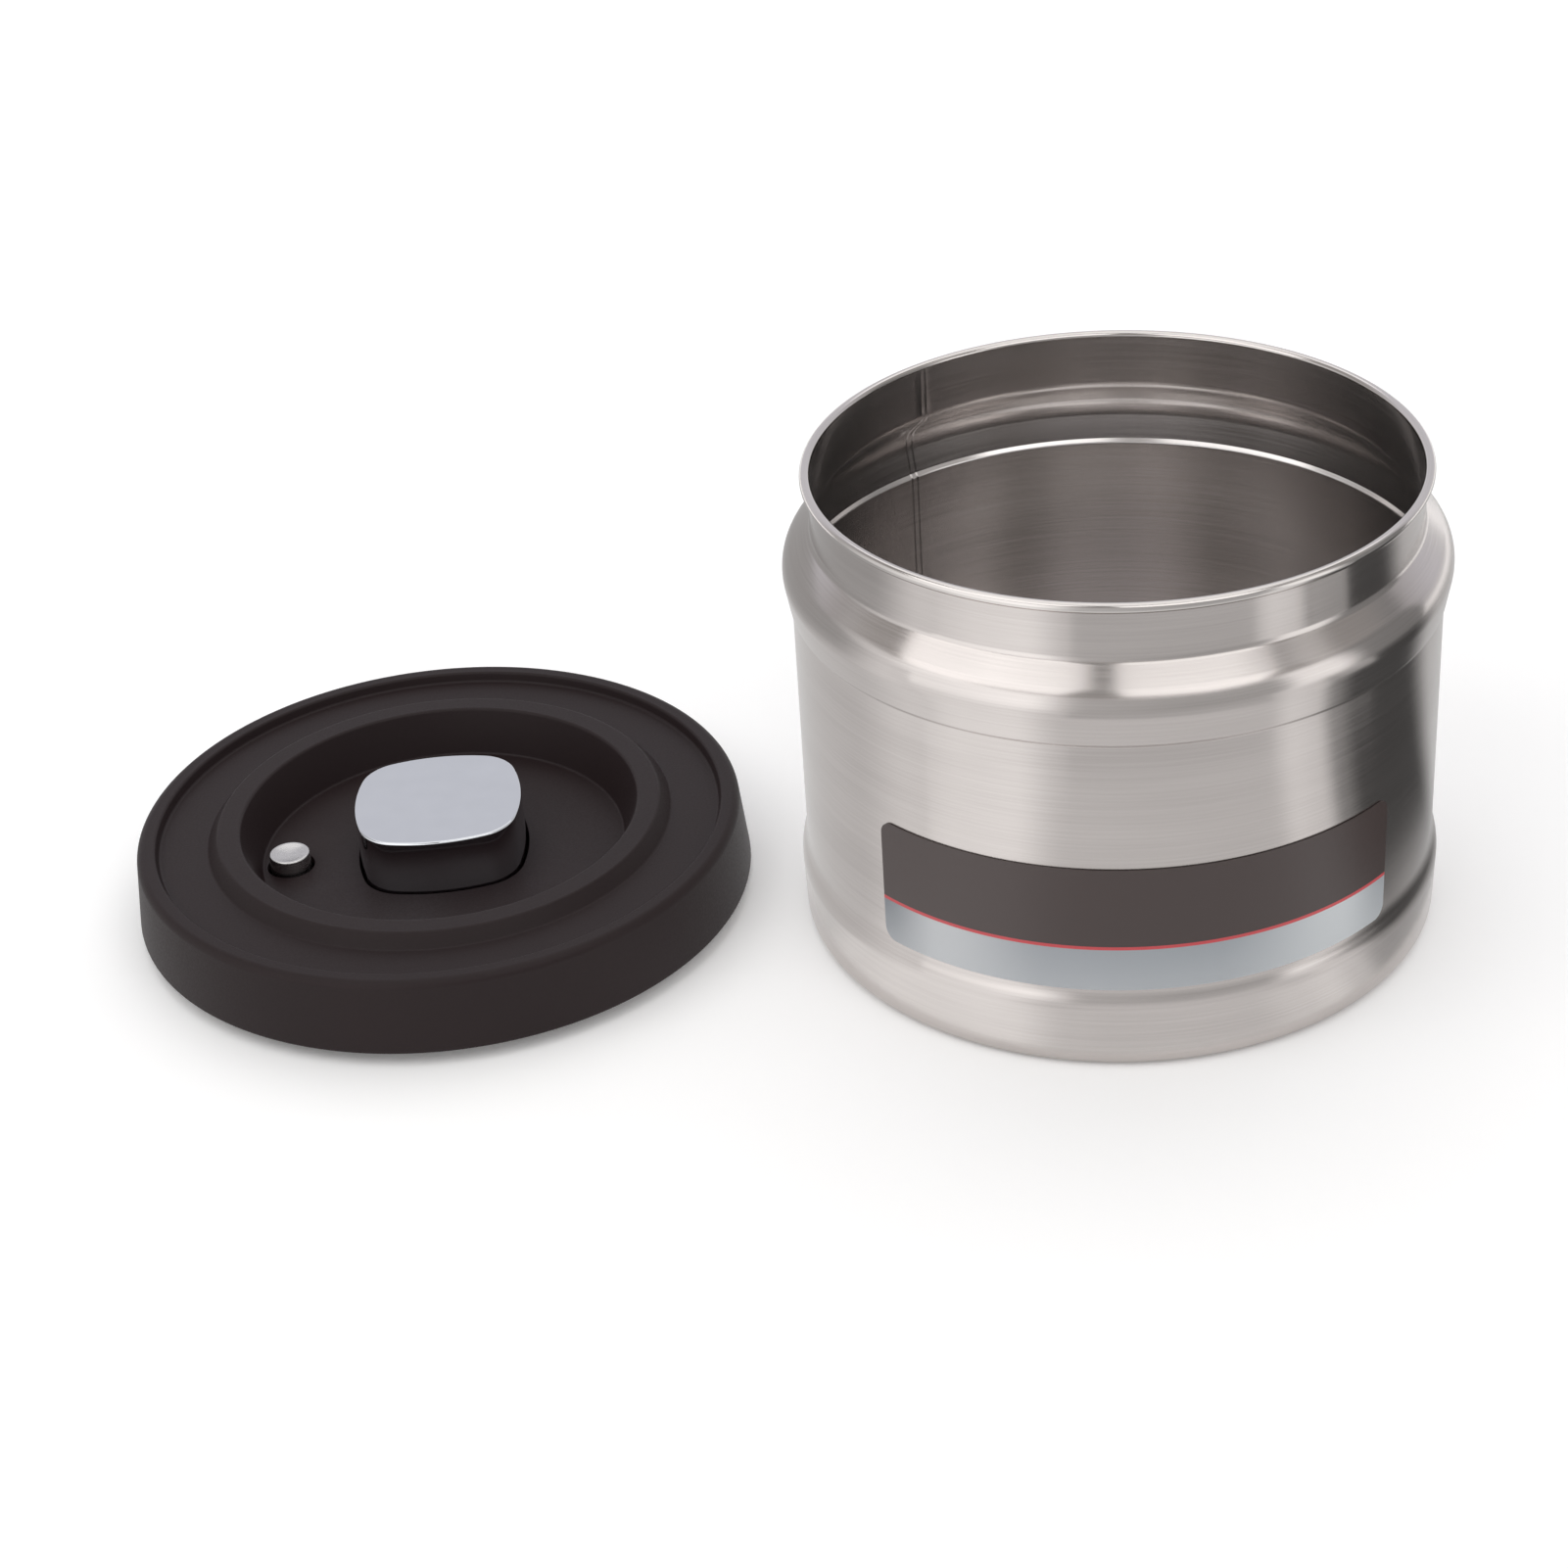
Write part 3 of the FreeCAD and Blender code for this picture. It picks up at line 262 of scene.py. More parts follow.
def lumps(tree, place, size_mm, detail, dimensions="3D"):
    """A noise with lumps of one size."""
    made = add_node(tree, "ShaderNodeTexNoise", {
        "Vector": place, "Scale": 1 / (size_mm * MM), "Detail": detail,
    }, noise_dimensions=dimensions)
    return made.outputs["Fac"]


def moulded(name, tones, rough, grit_mm, depth_mm, sheen=0.5):
    """Matte moulded plastic: a fine grit over faint clouds of tone."""
    material, tree, shader, place = new_material(name)
    clouds = lumps(tree, place, PLASTIC_CLOUD_MM, detail=3.0)
    grit = lumps(tree, place, grit_mm, detail=2.0)
    surface(tree, shader, mix(tree, clouds, *tones), grit, rough, PLASTIC_RELIEF, depth_mm, {
        "IOR": PLASTIC_IOR, "Specular IOR Level": sheen,
    })
    return material


cover_abs = moulded("abs_moulded_matte_brown", ("#211718", "#251A1B"), (0.44, 0.54),
                    grit_mm=0.45, depth_mm=0.03, sheen=0.18)
plug_abs = moulded("abs_moulded_smooth_brown", ("#261C1D", "#2A1F20"), (0.38, 0.46),
                   grit_mm=0.6, depth_mm=0.012, sheen=0.3)
white_acetal = moulded("acetal_moulded_white", ("#CFCBC4", "#D9D6D0"), (0.30, 0.38),
                       grit_mm=0.6, depth_mm=0.01)
silicone = moulded("silicone_moulded_grey", ("#A9A6A2", "#B4B1AD"), (0.50, 0.60),
                   grit_mm=0.5, depth_mm=0.015)
print("plastics:", cover_abs.name, plug_abs.name, white_acetal.name, silicone.name)

# %% Chrome, turned aluminium, wire and screw steel


def plated(name, tones, rough, wave_mm, depth_mm):
    """A bright metal skin with faint waves from the piece under it."""
    material, tree, shader, place = new_material(name)
    waves = lumps(tree, place, wave_mm, detail=1.0)
    surface(tree, shader, mix(tree, waves, *tones), waves, rough, PLATED_RELIEF, depth_mm, {"Metallic": 1.0})
    return material


chrome = plated("chrome_plated_abs", ("#C9CBCF", "#CFD1D5"), (0.03, 0.06), wave_mm=6, depth_mm=0.004)
spring_wire = plated("spring_steel_drawn", ("#8D8C8C", "#A3A2A2"), (0.24, 0.34), wave_mm=0.8, depth_mm=0.01)
zinc_steel = plated("steel_zinc_plated", ("#B9BABD", "#C8C9CC"), (0.22, 0.32), wave_mm=0.7, depth_mm=0.01)
turned_aluminium = steel("aluminium_turned", ("#B4B2B1", "#CFCDCC"), (0.16, 0.30),
                         scratch_mm=(0.18, 400), stretch=0.5, depth_mm=0.02)
print("metals:", chrome.name, spring_wire.name, zinc_steel.name, turned_aluminium.name)

# %% [markdown]
# ## Turning
# Most pieces are round, so most meshes here are lathe work: an outline in radius and height, with
# its corners rounded, is turned about an upright axis. A Screw modifier could do it, but a short
# function also writes the UV map that the steel needs, U along the outline and V round the axis, and
# lets an outline carry several finishes. Two short steps hold the flats beside each round.

# %% Outlines, turning, and mesh to piece
ARC_STEP, AROUND, ON_AXIS_MM = math.radians(6), 256, 1e-6
EVEN = [math.tau * i / AROUND for i in range(AROUND)]


def rounded(corners, closed=False, hold=0.08):
    """Points along an outline of corners (r, z) or rounded corners (r, z, radius), in millimetres."""
    points, count = [], len(corners)
    for i, corner in enumerate(corners):
        here = Vector(corner[:2])
        if len(corner) < 3 or (not closed and i in (0, count - 1)):
            points.append(here)
            continue
        back = (Vector(corners[i - 1][:2]) - here).normalized()
        ahead = (Vector(corners[(i + 1) % count][:2]) - here).normalized()
        half = back.angle(ahead) / 2
        arm = corner[2] / math.tan(half)
        centre = here + (back + ahead).normalized() * (corner[2] / math.sin(half))
        start, end = (math.atan2(*(here + way * arm - centre).yx) for way in (back, ahead))
        turn = (end - start + math.pi) % math.tau - math.pi
        steps = max(2, math.ceil(abs(turn) / ARC_STEP))
        points.append(here + back * (arm + hold))
        for step in range(steps + 1):
            angle = start + turn * step / steps
            points.append(centre + corner[2] * Vector((math.cos(angle), math.sin(angle))))
        points.append(here + ahead * (arm + hold))
    return points


def turned(profile, axis=(0, 0), angles=EVEN, closed=True, bands=None, push=None, mesh=None):
    """Turns an outline in millimetres. bands gives each stretch its finish, push moves points out."""
    mesh = mesh or bmesh.new()
    layer = mesh.loops.layers.uv.get("grain") or mesh.loops.layers.uv.new("grain")
    rings, run = [], [0.0]
    for i, point in enumerate(profile):
        if point[0] < ON_AXIS_MM:
            rings.append([mesh.verts.new((axis[0] * MM, axis[1] * MM, point[1] * MM))] * len(angles))
        else:
            ring = []
            for angle in angles:
                radius = point[0] + (push(i, angle) if push else 0)
                x, y = axis[0] + radius * math.cos(angle), axis[1] + radius * math.sin(angle)
                ring.append(mesh.verts.new((x * MM, y * MM, point[1] * MM)))
            rings.append(ring)
        run.append(run[-1] + (Vector(profile[(i + 1) % len(profile)]) - Vector(point)).length)
    girth = max(point[0] for point in profile)
    around = [*angles, angles[0] + math.tau]
    for i in range(len(profile) if closed else len(profile) - 1):
        j = (i + 1) % len(profile)
        for k in range(len(angles)):
            m = (k + 1) % len(angles)
            corners = [(rings[i][k], run[i], k), (rings[j][k], run[i + 1], k),
                       (rings[j][m], run[i + 1], k + 1), (rings[i][m], run[i], k + 1)]
            shown = [c for n, c in enumerate(corners) if c[0] is not corners[n - 1][0]]
            if len(shown) < 3:
                continue
            face = mesh.faces.new([c[0] for c in shown])
            face.material_index = bands[i] if bands else 0
            for loop, corner in zip(face.loops, shown):
                loop[layer].uv = (corner[1] * MM, around[corner[2]] * girth * MM)
    return mesh, rings


def place_mesh(data, name, sharp_deg):
    """An object at the origin, smooth but for its sharp edges."""
    data.shade_smooth()
    data.set_sharp_from_angle(angle=math.radians(sharp_deg))
    piece = in_scene(name, data)
    print(f"{name}: {len(data.polygons)} faces")
    return piece


def dress(piece, body, node):
    """Hangs the piece on the body that carries it, and hides the CAD node it stands for."""
    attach(piece, body)
    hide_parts(node)


def to_piece(mesh, name, finishes, body, node, sharp_deg=28):
    """Turns a bmesh with its finishes into a dressed piece."""
    bmesh.ops.recalc_face_normals(mesh, faces=mesh.faces)
    data = bpy.data.meshes.new(name)
    mesh.to_mesh(data)
    mesh.free()
    for finish in finishes:
        data.materials.append(finish)
    dress(place_mesh(data, name, sharp_deg), body, node)


def heights(node):
    """The lowest and the highest point of a CAD node, in millimetres."""
    return [corner.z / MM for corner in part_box(node)]


# %% [markdown]
# ## Canister shell
# The shell is one sheet, 0.6 mm thick, drawn and rolled: a curled rim, a straight neck, a swollen
# shoulder, the body and a foot band. Only its outer face is written down here. The inner face is the
# same line moved in by the sheet's thickness, as in the real sheet, so wall and curl keep one gauge.
# A small step ends the shoulder, a fine line outside and a bright edge inside. Inside also runs the
# weld seam of the rolled blank, a flat strip between two fine grooves. Extra columns of points beside
# it give it real depth.

# %% Shell, turned from one sheet
CAN_HEIGHT = heights("canister_shell")[1]
STEEL = 0.6
RIM_R, CURL_R = 65.0, 1.1
CURL_START_DEG, CURL_SWEEP_DEG, CURL_STEPS = -90, 270, 36
NECK_R = RIM_R - 2 * CURL_R + STEEL
NECK_Z, NECK_ROUND = CAN_HEIGHT - 12.7, 2.0
SHOULDER_R, SHOULDER_Z, SHOULDER_ROUND = NECK_R + 6.87, NECK_Z - 6.5, 7.0
BODY_R, BODY_Z = NECK_R + 4.6, SHOULDER_Z - 10.1
STEP_OUT, STEP_RISE, STEP_ROUND = 0.6, 0.9, 0.45
BAND_R, BAND_TOP, BAND_FALL, BAND_ROUND = BODY_R + 1.3, 18.5, 3.3, 8.0
FOOT_R, FOOT_ROUND = BAND_R - 0.5, 3.0
FOOT_IN = FOOT_R - 6.2
SEAM_ANGLE = math.radians(132.5)
SEAM_SINK_MM = {0.0: 0.0, 0.45: 0.0, 0.70: 0.26, 0.95: 0.0}
SEAM_CLEAR_SHARE = 1.5
BRUSHED, ROLLED, POLISHED = 0, 1, 2


def sheet_faces():
    """The sheet's outer face, from the curl's tip to the cut edge under the foot, and its inner face."""
    hub, hollow = Vector((RIM_R - CURL_R, CAN_HEIGHT - CURL_R)), CURL_R - STEEL
    curl = []
    for n in range(CURL_STEPS + 1):
        angle = math.radians(CURL_START_DEG + CURL_SWEEP_DEG * n / CURL_STEPS)
        curl.append(hub + hollow * Vector((math.cos(angle), math.sin(angle))))
    wall = rounded([
        (NECK_R, hub.y), (NECK_R, NECK_Z, NECK_ROUND), (SHOULDER_R, SHOULDER_Z, SHOULDER_ROUND),
        (BODY_R + STEP_OUT, BODY_Z + STEP_RISE, STEP_ROUND), (BODY_R, BODY_Z, STEP_ROUND),
        (BODY_R, BAND_TOP, BAND_ROUND), (BAND_R, BAND_TOP - BAND_FALL, BAND_ROUND),
        (FOOT_R, 0, FOOT_ROUND), (FOOT_IN, 0),
    ])
    outer = curl + wall[1:]
    inner = []
    for i, point in enumerate(outer):
        ahead = outer[min(i + 1, len(outer) - 1)] - outer[max(i - 1, 0)]
        side = Vector((ahead.y, -ahead.x)).normalized()
        inner.append(point + side * STEEL)
    return outer, inner, len(curl)


outer_face, inner_face, curl_count = sheet_faces()
sheet = outer_face + inner_face[::-1]
inner_finish = [POLISHED] * curl_count + [ROLLED] * (len(inner_face) - curl_count)
finish_of = [BRUSHED] * len(outer_face) + inner_finish[::-1]
seam_depth = {}
for away, sink in SEAM_SINK_MM.items():
    for side in (-1, 1):
        seam_depth[SEAM_ANGLE + side * away / NECK_R] = sink
seam_clear = max(SEAM_SINK_MM) / NECK_R * SEAM_CLEAR_SHARE
columns = sorted([a for a in EVEN if abs(a - SEAM_ANGLE) > seam_clear] + list(seam_depth))


def seam_push(i, angle):
    """How far a point of the inner face moves in or out at the weld seam."""
    below_curl = len(outer_face) <= i < len(sheet) - curl_count
    return seam_depth.get(angle, 0) if below_curl else 0


shell_mesh, _ = turned(sheet, angles=columns, bands=finish_of, push=seam_push)
to_piece(shell_mesh, "steel_shell", [brushed_steel, rolled_steel, polished_steel],
         "canister", "canister_shell")

# %% [markdown]
# ## Base panel
# The base is a pressed disc that sits on the turned-in foot, raised in the middle so that the
# canister stands on its rim. It is turned from the same outline as the solid, with soft bends.

# %% Base panel
BASE_R = FOOT_R - FOOT_ROUND - 0.2
BASE_LOW, BASE_LIFT, BASE_SLOPE, BASE_BEND = STEEL, 2.0, 2.4, 0.7
base_high = BASE_LOW + BASE_LIFT
base_mesh, _ = turned(rounded([
    (0, base_high), (FOOT_IN - BASE_SLOPE, base_high, BASE_BEND + STEEL), (FOOT_IN, BASE_LOW, BASE_BEND),
    (BASE_R, BASE_LOW), (BASE_R, BASE_LOW + STEEL), (FOOT_IN, BASE_LOW + STEEL, BASE_BEND + STEEL),
    (FOOT_IN - BASE_SLOPE, base_high + STEEL, BASE_BEND), (0, base_high + STEEL),
]), closed=False)
to_piece(base_mesh, "steel_base", [rolled_steel], "canister", "canister_base")

# %% [markdown]
# ## Label
# A printed plastic film is stuck round the front of the body: a dark brown field over a silver
# strip, parted by a thin red line, with rounded corners. The wording is left off, so the film is
# plain. A flat grid bent round the body would do, but rounded corners need rows that shorten near
# the ends, so each column of points is cut to the corner's arc. The print is drawn by the material
# in real millimetres on the film's own UV map. Along the silver strip it also holds painted
# reflections: light and dark bands where the metal ink mirrors the cards and softboxes.

# %% Printed film
LABEL_LOW, LABEL_TOP = heights("front_label")
LABEL_ROUND, FILM, GLUE = 3.0, 0.25, 0.1
LABEL_TURN, LABEL_SPAN = math.radians(5.2), math.radians(97.4)
LINE_MM, LINE_WIDTH_MM = 10.1, 0.75
# The silver strip's tones along the film: printed silver with painted reflections in light and dark bands.
SILVER_WITH_PAINTED_REFLECTIONS = {
    0.0: "#83888F", 0.13: "#CDD0D3", 0.34: "#A3A8AE", 0.62: "#A0A6AC", 0.88: "#D2D7DA", 1.0: "#A8AEB3",
}
LOW_SILVER, LOW_SHARE = "#CDD1D4", 0.45
BROWN, RED = "#443836", "#CE4A50"
FILM_ROUGH, FILM_GRAIN_MM, FILM_RELIEF, FILM_DEPTH_MM, FILM_IOR = (0.30, 0.44), 1.2, 0.1, 0.01, 1.5
FILM_COLUMNS, FILM_ROWS, END_STEP_DEG = 96, 12, 6
label_r = BODY_R + GLUE + FILM
label_length = LABEL_SPAN * label_r


def printed_film(name):
    """Satin film: a brown field, a red line, and a silver strip with painted reflections, paler along its
    low edge.
    """
    material, tree, shader, place = new_material(name, on_map=True)
    spot = axes(tree, place)
    along = spread(tree, spot["X"], (0.0, label_length * MM), 0.0, 1.0)
    silver_with_painted_reflections = ramp(tree, along, {share: linear(tone) for share, tone in SILVER_WITH_PAINTED_REFLECTIONS.items()})
    low = spread(tree, spot["Y"], (0.0, LINE_MM * MM), LOW_SHARE, 0.0)
    above = maths(tree, "GREATER_THAN", spot["Y"], LINE_MM * MM)
    on_line = maths(tree, "COMPARE", spot["Y"], LINE_MM * MM, LINE_WIDTH_MM / 2 * MM)
    field = mix(tree, above, mix(tree, low, silver_with_painted_reflections, LOW_SILVER), BROWN)
    grain = lumps(tree, place, FILM_GRAIN_MM, detail=2.0, dimensions="2D")
    surface(tree, shader, mix(tree, on_line, field, RED), grain, FILM_ROUGH, FILM_RELIEF, FILM_DEPTH_MM, {
        "IOR": FILM_IOR,
    }, span=(0.0, 1.0))
    return material


def film_columns():
    """Distances along the film for its columns of points, close together at the rounded ends."""
    ends = [LABEL_ROUND * (1 - math.cos(math.radians(a))) for a in range(0, 91, END_STEP_DEG)]
    straight = label_length - 2 * LABEL_ROUND
    middle = [LABEL_ROUND + straight * n / FILM_COLUMNS for n in range(1, FILM_COLUMNS)]
    return ends + middle + [label_length - d for d in reversed(ends)]


film_mesh = bmesh.new()
film_uv = film_mesh.loops.layers.uv.new("grain")
grid = {}
for depth, radius in enumerate((label_r, label_r - FILM)):
    for i, along_film in enumerate(film_columns()):
        near_end = LABEL_ROUND - min(along_film, label_length - along_film, LABEL_ROUND)
        cut = LABEL_ROUND - math.sqrt(max(0, LABEL_ROUND ** 2 - near_end ** 2))
        angle = LABEL_TURN - math.pi / 2 - LABEL_SPAN / 2 + along_film / label_r
        for j in range(FILM_ROWS + 1):
            z = LABEL_LOW + cut + (LABEL_TOP - LABEL_LOW - 2 * cut) * j / FILM_ROWS
            spot = Vector((radius * math.cos(angle), radius * math.sin(angle), z)) * MM
            grid[depth, i, j] = (film_mesh.verts.new(spot), (along_film * MM, (z - LABEL_LOW) * MM))
last_column = len(film_columns()) - 1
quads = []
for i in range(last_column):
    for j in range(FILM_ROWS):
        for depth in (0, 1):
            quads.append([(depth, i, j), (depth, i + 1, j), (depth, i + 1, j + 1), (depth, i, j + 1)])
    for j in (0, FILM_ROWS):
        quads.append([(0, i, j), (0, i + 1, j), (1, i + 1, j), (1, i, j)])
for j in range(FILM_ROWS):
    for i in (0, last_column):
        quads.append([(0, i, j), (0, i, j + 1), (1, i, j + 1), (1, i, j)])
for quad in quads:
    face = film_mesh.faces.new([grid[key][0] for key in quad])
    for loop, key in zip(face.loops, quad):
        loop[film_uv].uv = grid[key][1]
to_piece(film_mesh, "label_film", [printed_film("polypropylene_film_printed")],
         "canister", "front_label")

# %% [markdown]
# ## Cover of the lid
# One moulding: a flared skirt with a raised lip, a shallow moat, a ring, and a bowl whose floor has
# an opening for the button and one for the valve. It could be turned whole and cut with Booleans,
# but those leave long thin faces on the bowl's floor. Here the outline is turned from the floor's
# edge round to its underside, and the two floors are filled between the loops of the openings.

# %% The button's plan and the moulded cover
cover_low, cover_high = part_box("lid_cover")
LID = ((cover_low.x + cover_high.x) / 2 / MM, (cover_low.y + cover_high.y) / 2 / MM)
RING_Z = cover_high.z / MM
FLOOR_Z, FLOOR_WALL, COVER_WALL = RING_Z - 10.1, 1.8, 1.8
FLOOR_LOW = FLOOR_Z - FLOOR_WALL
MOAT_Z = RING_Z - 3.0
UNDER_Z, LIP_Z = MOAT_Z - COVER_WALL, MOAT_Z + 2.2
SKIRT_TALL, SKIRT_SPREAD = 16.8, 1.8
SKIRT_Z, FLARE = LIP_Z - SKIRT_TALL, SKIRT_SPREAD / SKIRT_TALL
SKIRT_IN_TOP = RIM_R + 0.4
SKIRT_IN_LOW = SKIRT_IN_TOP + FLARE * (UNDER_Z - SKIRT_Z)
LIP_R = SKIRT_IN_TOP + COVER_WALL - FLARE * (LIP_Z - UNDER_Z)
LIP_IN = LIP_R - 3.9
MOAT_OUT = LIP_IN - 0.7
RING_FOOT = MOAT_OUT - 10.6
RING_OUT = RING_FOOT - 2.5
RING_IN = RING_OUT - 4.9
BOWL_R = RING_IN - 3.7
FLOOR_EDGE = BOWL_R - 0.6
FLOOR_BEND, RING_BEND, MOAT_BEND, LIP_BEND, SKIRT_BEND = 0.6, 0.8, 0.7, 1.9, 0.6
BUTTON_HALF, BUTTON_BOW, BUTTON_CORNER, BUTTON_GAP = 18.5, 40.0, 9.5, 0.5
BUTTON_TURN = math.radians(11)
SIDE_STEPS, CORNER_STEPS = 28, 20
VALVE_R, VALVE_GAP = 4.5, 0.7
VALVE = tuple((a + b) / 2 / MM for a, b in zip(*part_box("release_cap")))[:2]
HOLE_EDGE, HOLE_MIDDLE_SHARE = 0.25, 0.3
SCREW_COUNT, SCREW_CIRCLE_R, SCREW_R, SCREW_HEAD = 4, 28.5, 1.2, 0.9
SCREW_TURN = math.radians(38)
PLATE_TOP = heights("lid_screws")[0] + SCREW_HEAD + 1.6
BOSS_R, BOSS_SINK = 3.0, 0.9
FEW = EVEN[::8]


def soft_square(grow=0.0):
    """Points round the button's plan, about the lid's axis, each side of it moved out by grow."""
    offset = BUTTON_HALF - BUTTON_BOW
    diagonal = (offset + math.sqrt(2 * (BUTTON_BOW - BUTTON_CORNER) ** 2 - offset ** 2)) / 2
    lean = math.atan2(diagonal, diagonal - offset)
    arcs = [((offset, 0), BUTTON_BOW, -lean, lean, SIDE_STEPS),
            ((diagonal, diagonal), BUTTON_CORNER, lean, math.pi / 2 - lean, CORNER_STEPS)]
    points = []
    for quarter in range(4):
        for hub, radius, start, end, steps in arcs:
            for n in range(steps):
                angle = start + (end - start) * n / steps
                spot = Vector(hub) + (radius + grow) * Vector((math.cos(angle), math.sin(angle)))
                spot.rotate(Matrix.Rotation(quarter * math.pi / 2 + BUTTON_TURN, 2))
                points.append((LID[0] + spot.x, LID[1] + spot.y))
    return points


def round_hole(grow=0.0):
    """Points round the valve's opening."""
    radius = VALVE_R + VALVE_GAP + grow
    return [(VALVE[0] + radius * math.cos(a), VALVE[1] + radius * math.sin(a)) for a in EVEN[::3]]


def loop_at(mesh, points, z):
    """A closed loop of points at a height."""
    return [mesh.verts.new((x * MM, y * MM, z * MM)) for x, y in points]


def bridge(mesh, low, high):
    """Faces between two loops with as many points."""
    for n in range(len(low)):
        m = (n + 1) % len(low)
        mesh.faces.new((low[n], low[m], high[m], high[n]))


def fill_between(mesh, loops):
    """Flat faces between an outer loop and the loops of its openings."""
    edges = []
    for loop in loops:
        for n, vert in enumerate(loop):
            pair = (loop[n - 1], vert)
            edges.append(mesh.edges.get(pair) or mesh.edges.new(pair))
    bmesh.ops.triangle_fill(mesh, use_beauty=True, edges=edges)


cover_mesh, cover_rings = turned(rounded([
    (FLOOR_EDGE, FLOOR_Z), (BOWL_R, FLOOR_Z, FLOOR_BEND), (RING_IN, RING_Z, RING_BEND),
    (RING_OUT, RING_Z, RING_BEND), (RING_FOOT, MOAT_Z, MOAT_BEND), (MOAT_OUT, MOAT_Z, MOAT_BEND),
    (LIP_IN, LIP_Z, MOAT_BEND), (LIP_R, LIP_Z, LIP_BEND), (SKIRT_IN_LOW + COVER_WALL, SKIRT_Z, SKIRT_BEND),
    (SKIRT_IN_LOW, SKIRT_Z), (SKIRT_IN_TOP, UNDER_Z), (RING_FOOT - COVER_WALL / 2, UNDER_Z),
    (RING_OUT - COVER_WALL / 2, RING_Z - COVER_WALL), (RING_IN + COVER_WALL, RING_Z - COVER_WALL),
    (BOWL_R + COVER_WALL, FLOOR_LOW), (FLOOR_EDGE, FLOOR_LOW),
]), LID, closed=False)
top_loops, low_loops = [cover_rings[0]], [cover_rings[-1]]
for opening, gap in ((soft_square, BUTTON_GAP), (round_hole, 0.0)):
    middle = HOLE_EDGE * HOLE_MIDDLE_SHARE
    levels = [loop_at(cover_mesh, opening(gap + HOLE_EDGE), FLOOR_Z),
              loop_at(cover_mesh, opening(gap + middle), FLOOR_Z - middle),
              loop_at(cover_mesh, opening(gap), FLOOR_Z - HOLE_EDGE),
              loop_at(cover_mesh, opening(gap), FLOOR_LOW)]
    for upper, lower in zip(levels, levels[1:]):
        bridge(cover_mesh, lower, upper)
    top_loops.append(levels[0])
    low_loops.append(levels[-1])
fill_between(cover_mesh, top_loops)
fill_between(cover_mesh, low_loops)
boss_top = FLOOR_LOW + BOSS_SINK
boss = [(SCREW_R, PLATE_TOP), (BOSS_R, PLATE_TOP), (BOSS_R, boss_top), (SCREW_R, boss_top)]
for n in range(SCREW_COUNT):
    angle = SCREW_TURN + math.tau * n / SCREW_COUNT
    axis = (LID[0] + SCREW_CIRCLE_R * math.cos(angle), LID[1] + SCREW_CIRCLE_R * math.sin(angle))
    turned(boss, axis, FEW, mesh=cover_mesh)
to_piece(cover_mesh, "cover_moulding", [cover_abs], "lid", "lid_cover")

# %% [markdown]
# ## Push button
# The button is a soft square with bowed sides, a flat roof and a crisp edge that catches the light.
# A mirror shows every flaw of a mesh, so the roof is one flat face with a narrow rim of its own, and
# the edge is a true quarter round. Below it is hollow, with a boss for the plunger's screw.

# %% Chromed button
button_low, button_high = heights("button_cap")
BUTTON_EDGE, BUTTON_RIM, BUTTON_WALL, BUTTON_ROOF = 0.5, 0.2, 1.5, 1.6
BUTTON_BOSS_R, BUTTON_THREAD = 2.6, 3.3
EDGE_STEPS = 8
button_mesh = bmesh.new()
levels = [(0.0, button_low), (0.0, button_high - BUTTON_EDGE)]
for step in range(1, EDGE_STEPS + 1):
    angle = math.pi / 2 * step / EDGE_STEPS
    levels.append((-BUTTON_EDGE * (1 - math.cos(angle)), button_high - BUTTON_EDGE * (1 - math.sin(angle))))
levels.append((-BUTTON_EDGE - BUTTON_RIM, button_high))
outer_loops = [loop_at(button_mesh, soft_square(grow), z) for grow, z in levels]
for lower, upper in zip(outer_loops, outer_loops[1:]):
    bridge(button_mesh, lower, upper)
button_mesh.faces.new(outer_loops[-1])
inner_low = loop_at(button_mesh, soft_square(-BUTTON_WALL), button_low)
inner_high = loop_at(button_mesh, soft_square(-BUTTON_WALL), button_high - BUTTON_ROOF)
bridge(button_mesh, inner_low, outer_loops[0])
bridge(button_mesh, inner_high, inner_low)
button_mesh.faces.new(inner_high)
boss_low = heights("plunger_screw")[1] - BUTTON_THREAD
boss_high = button_high - BUTTON_ROOF / 2
turned([(SCREW_R, boss_low), (BUTTON_BOSS_R, boss_low), (BUTTON_BOSS_R, boss_high), (SCREW_R, boss_high)],
       LID, FEW, mesh=button_mesh)
to_piece(button_mesh, "chrome_button", [chrome], "pump_button", "button_cap")

# %% [markdown]
# ## Release valve cap
# A small turned cap with a dished top. Pressing it lifts the seal under it and lets air in. It is
# turned like the rest, and its tool marks follow the outline because its UV map does.

# %% Turned valve cap
cap_low, cap_high = heights("release_cap")
CAP_ROUND, CAP_WALL, CAP_TOP, DISH, DISH_RIM = 0.35, 0.9, 1.4, 0.35, 0.6
CAP_SOCKET_R, CAP_SOCKET_WALL, CAP_SOCKET = 1.52, 0.7, 2.8
DISH_STEPS, CAP_SHARP_DEG = 10, 40
cap_under = cap_high - CAP_TOP
dish = [(VALVE_R - DISH_RIM) * (1 - n / DISH_STEPS) for n in range(DISH_STEPS + 1)]
dish_points = [Vector((r, cap_high - DISH * (1 - (r / dish[0]) ** 2))) for r in dish]
cap_outline = rounded([
    (0, cap_under), (CAP_SOCKET_R, cap_under), (CAP_SOCKET_R, cap_under - CAP_SOCKET),
    (CAP_SOCKET_R + CAP_SOCKET_WALL, cap_under - CAP_SOCKET), (CAP_SOCKET_R + CAP_SOCKET_WALL, cap_under),
    (VALVE_R - CAP_WALL, cap_under), (VALVE_R - CAP_WALL, cap_low), (VALVE_R, cap_low),
    (VALVE_R, cap_high, CAP_ROUND), (VALVE_R - DISH_RIM, cap_high),
])
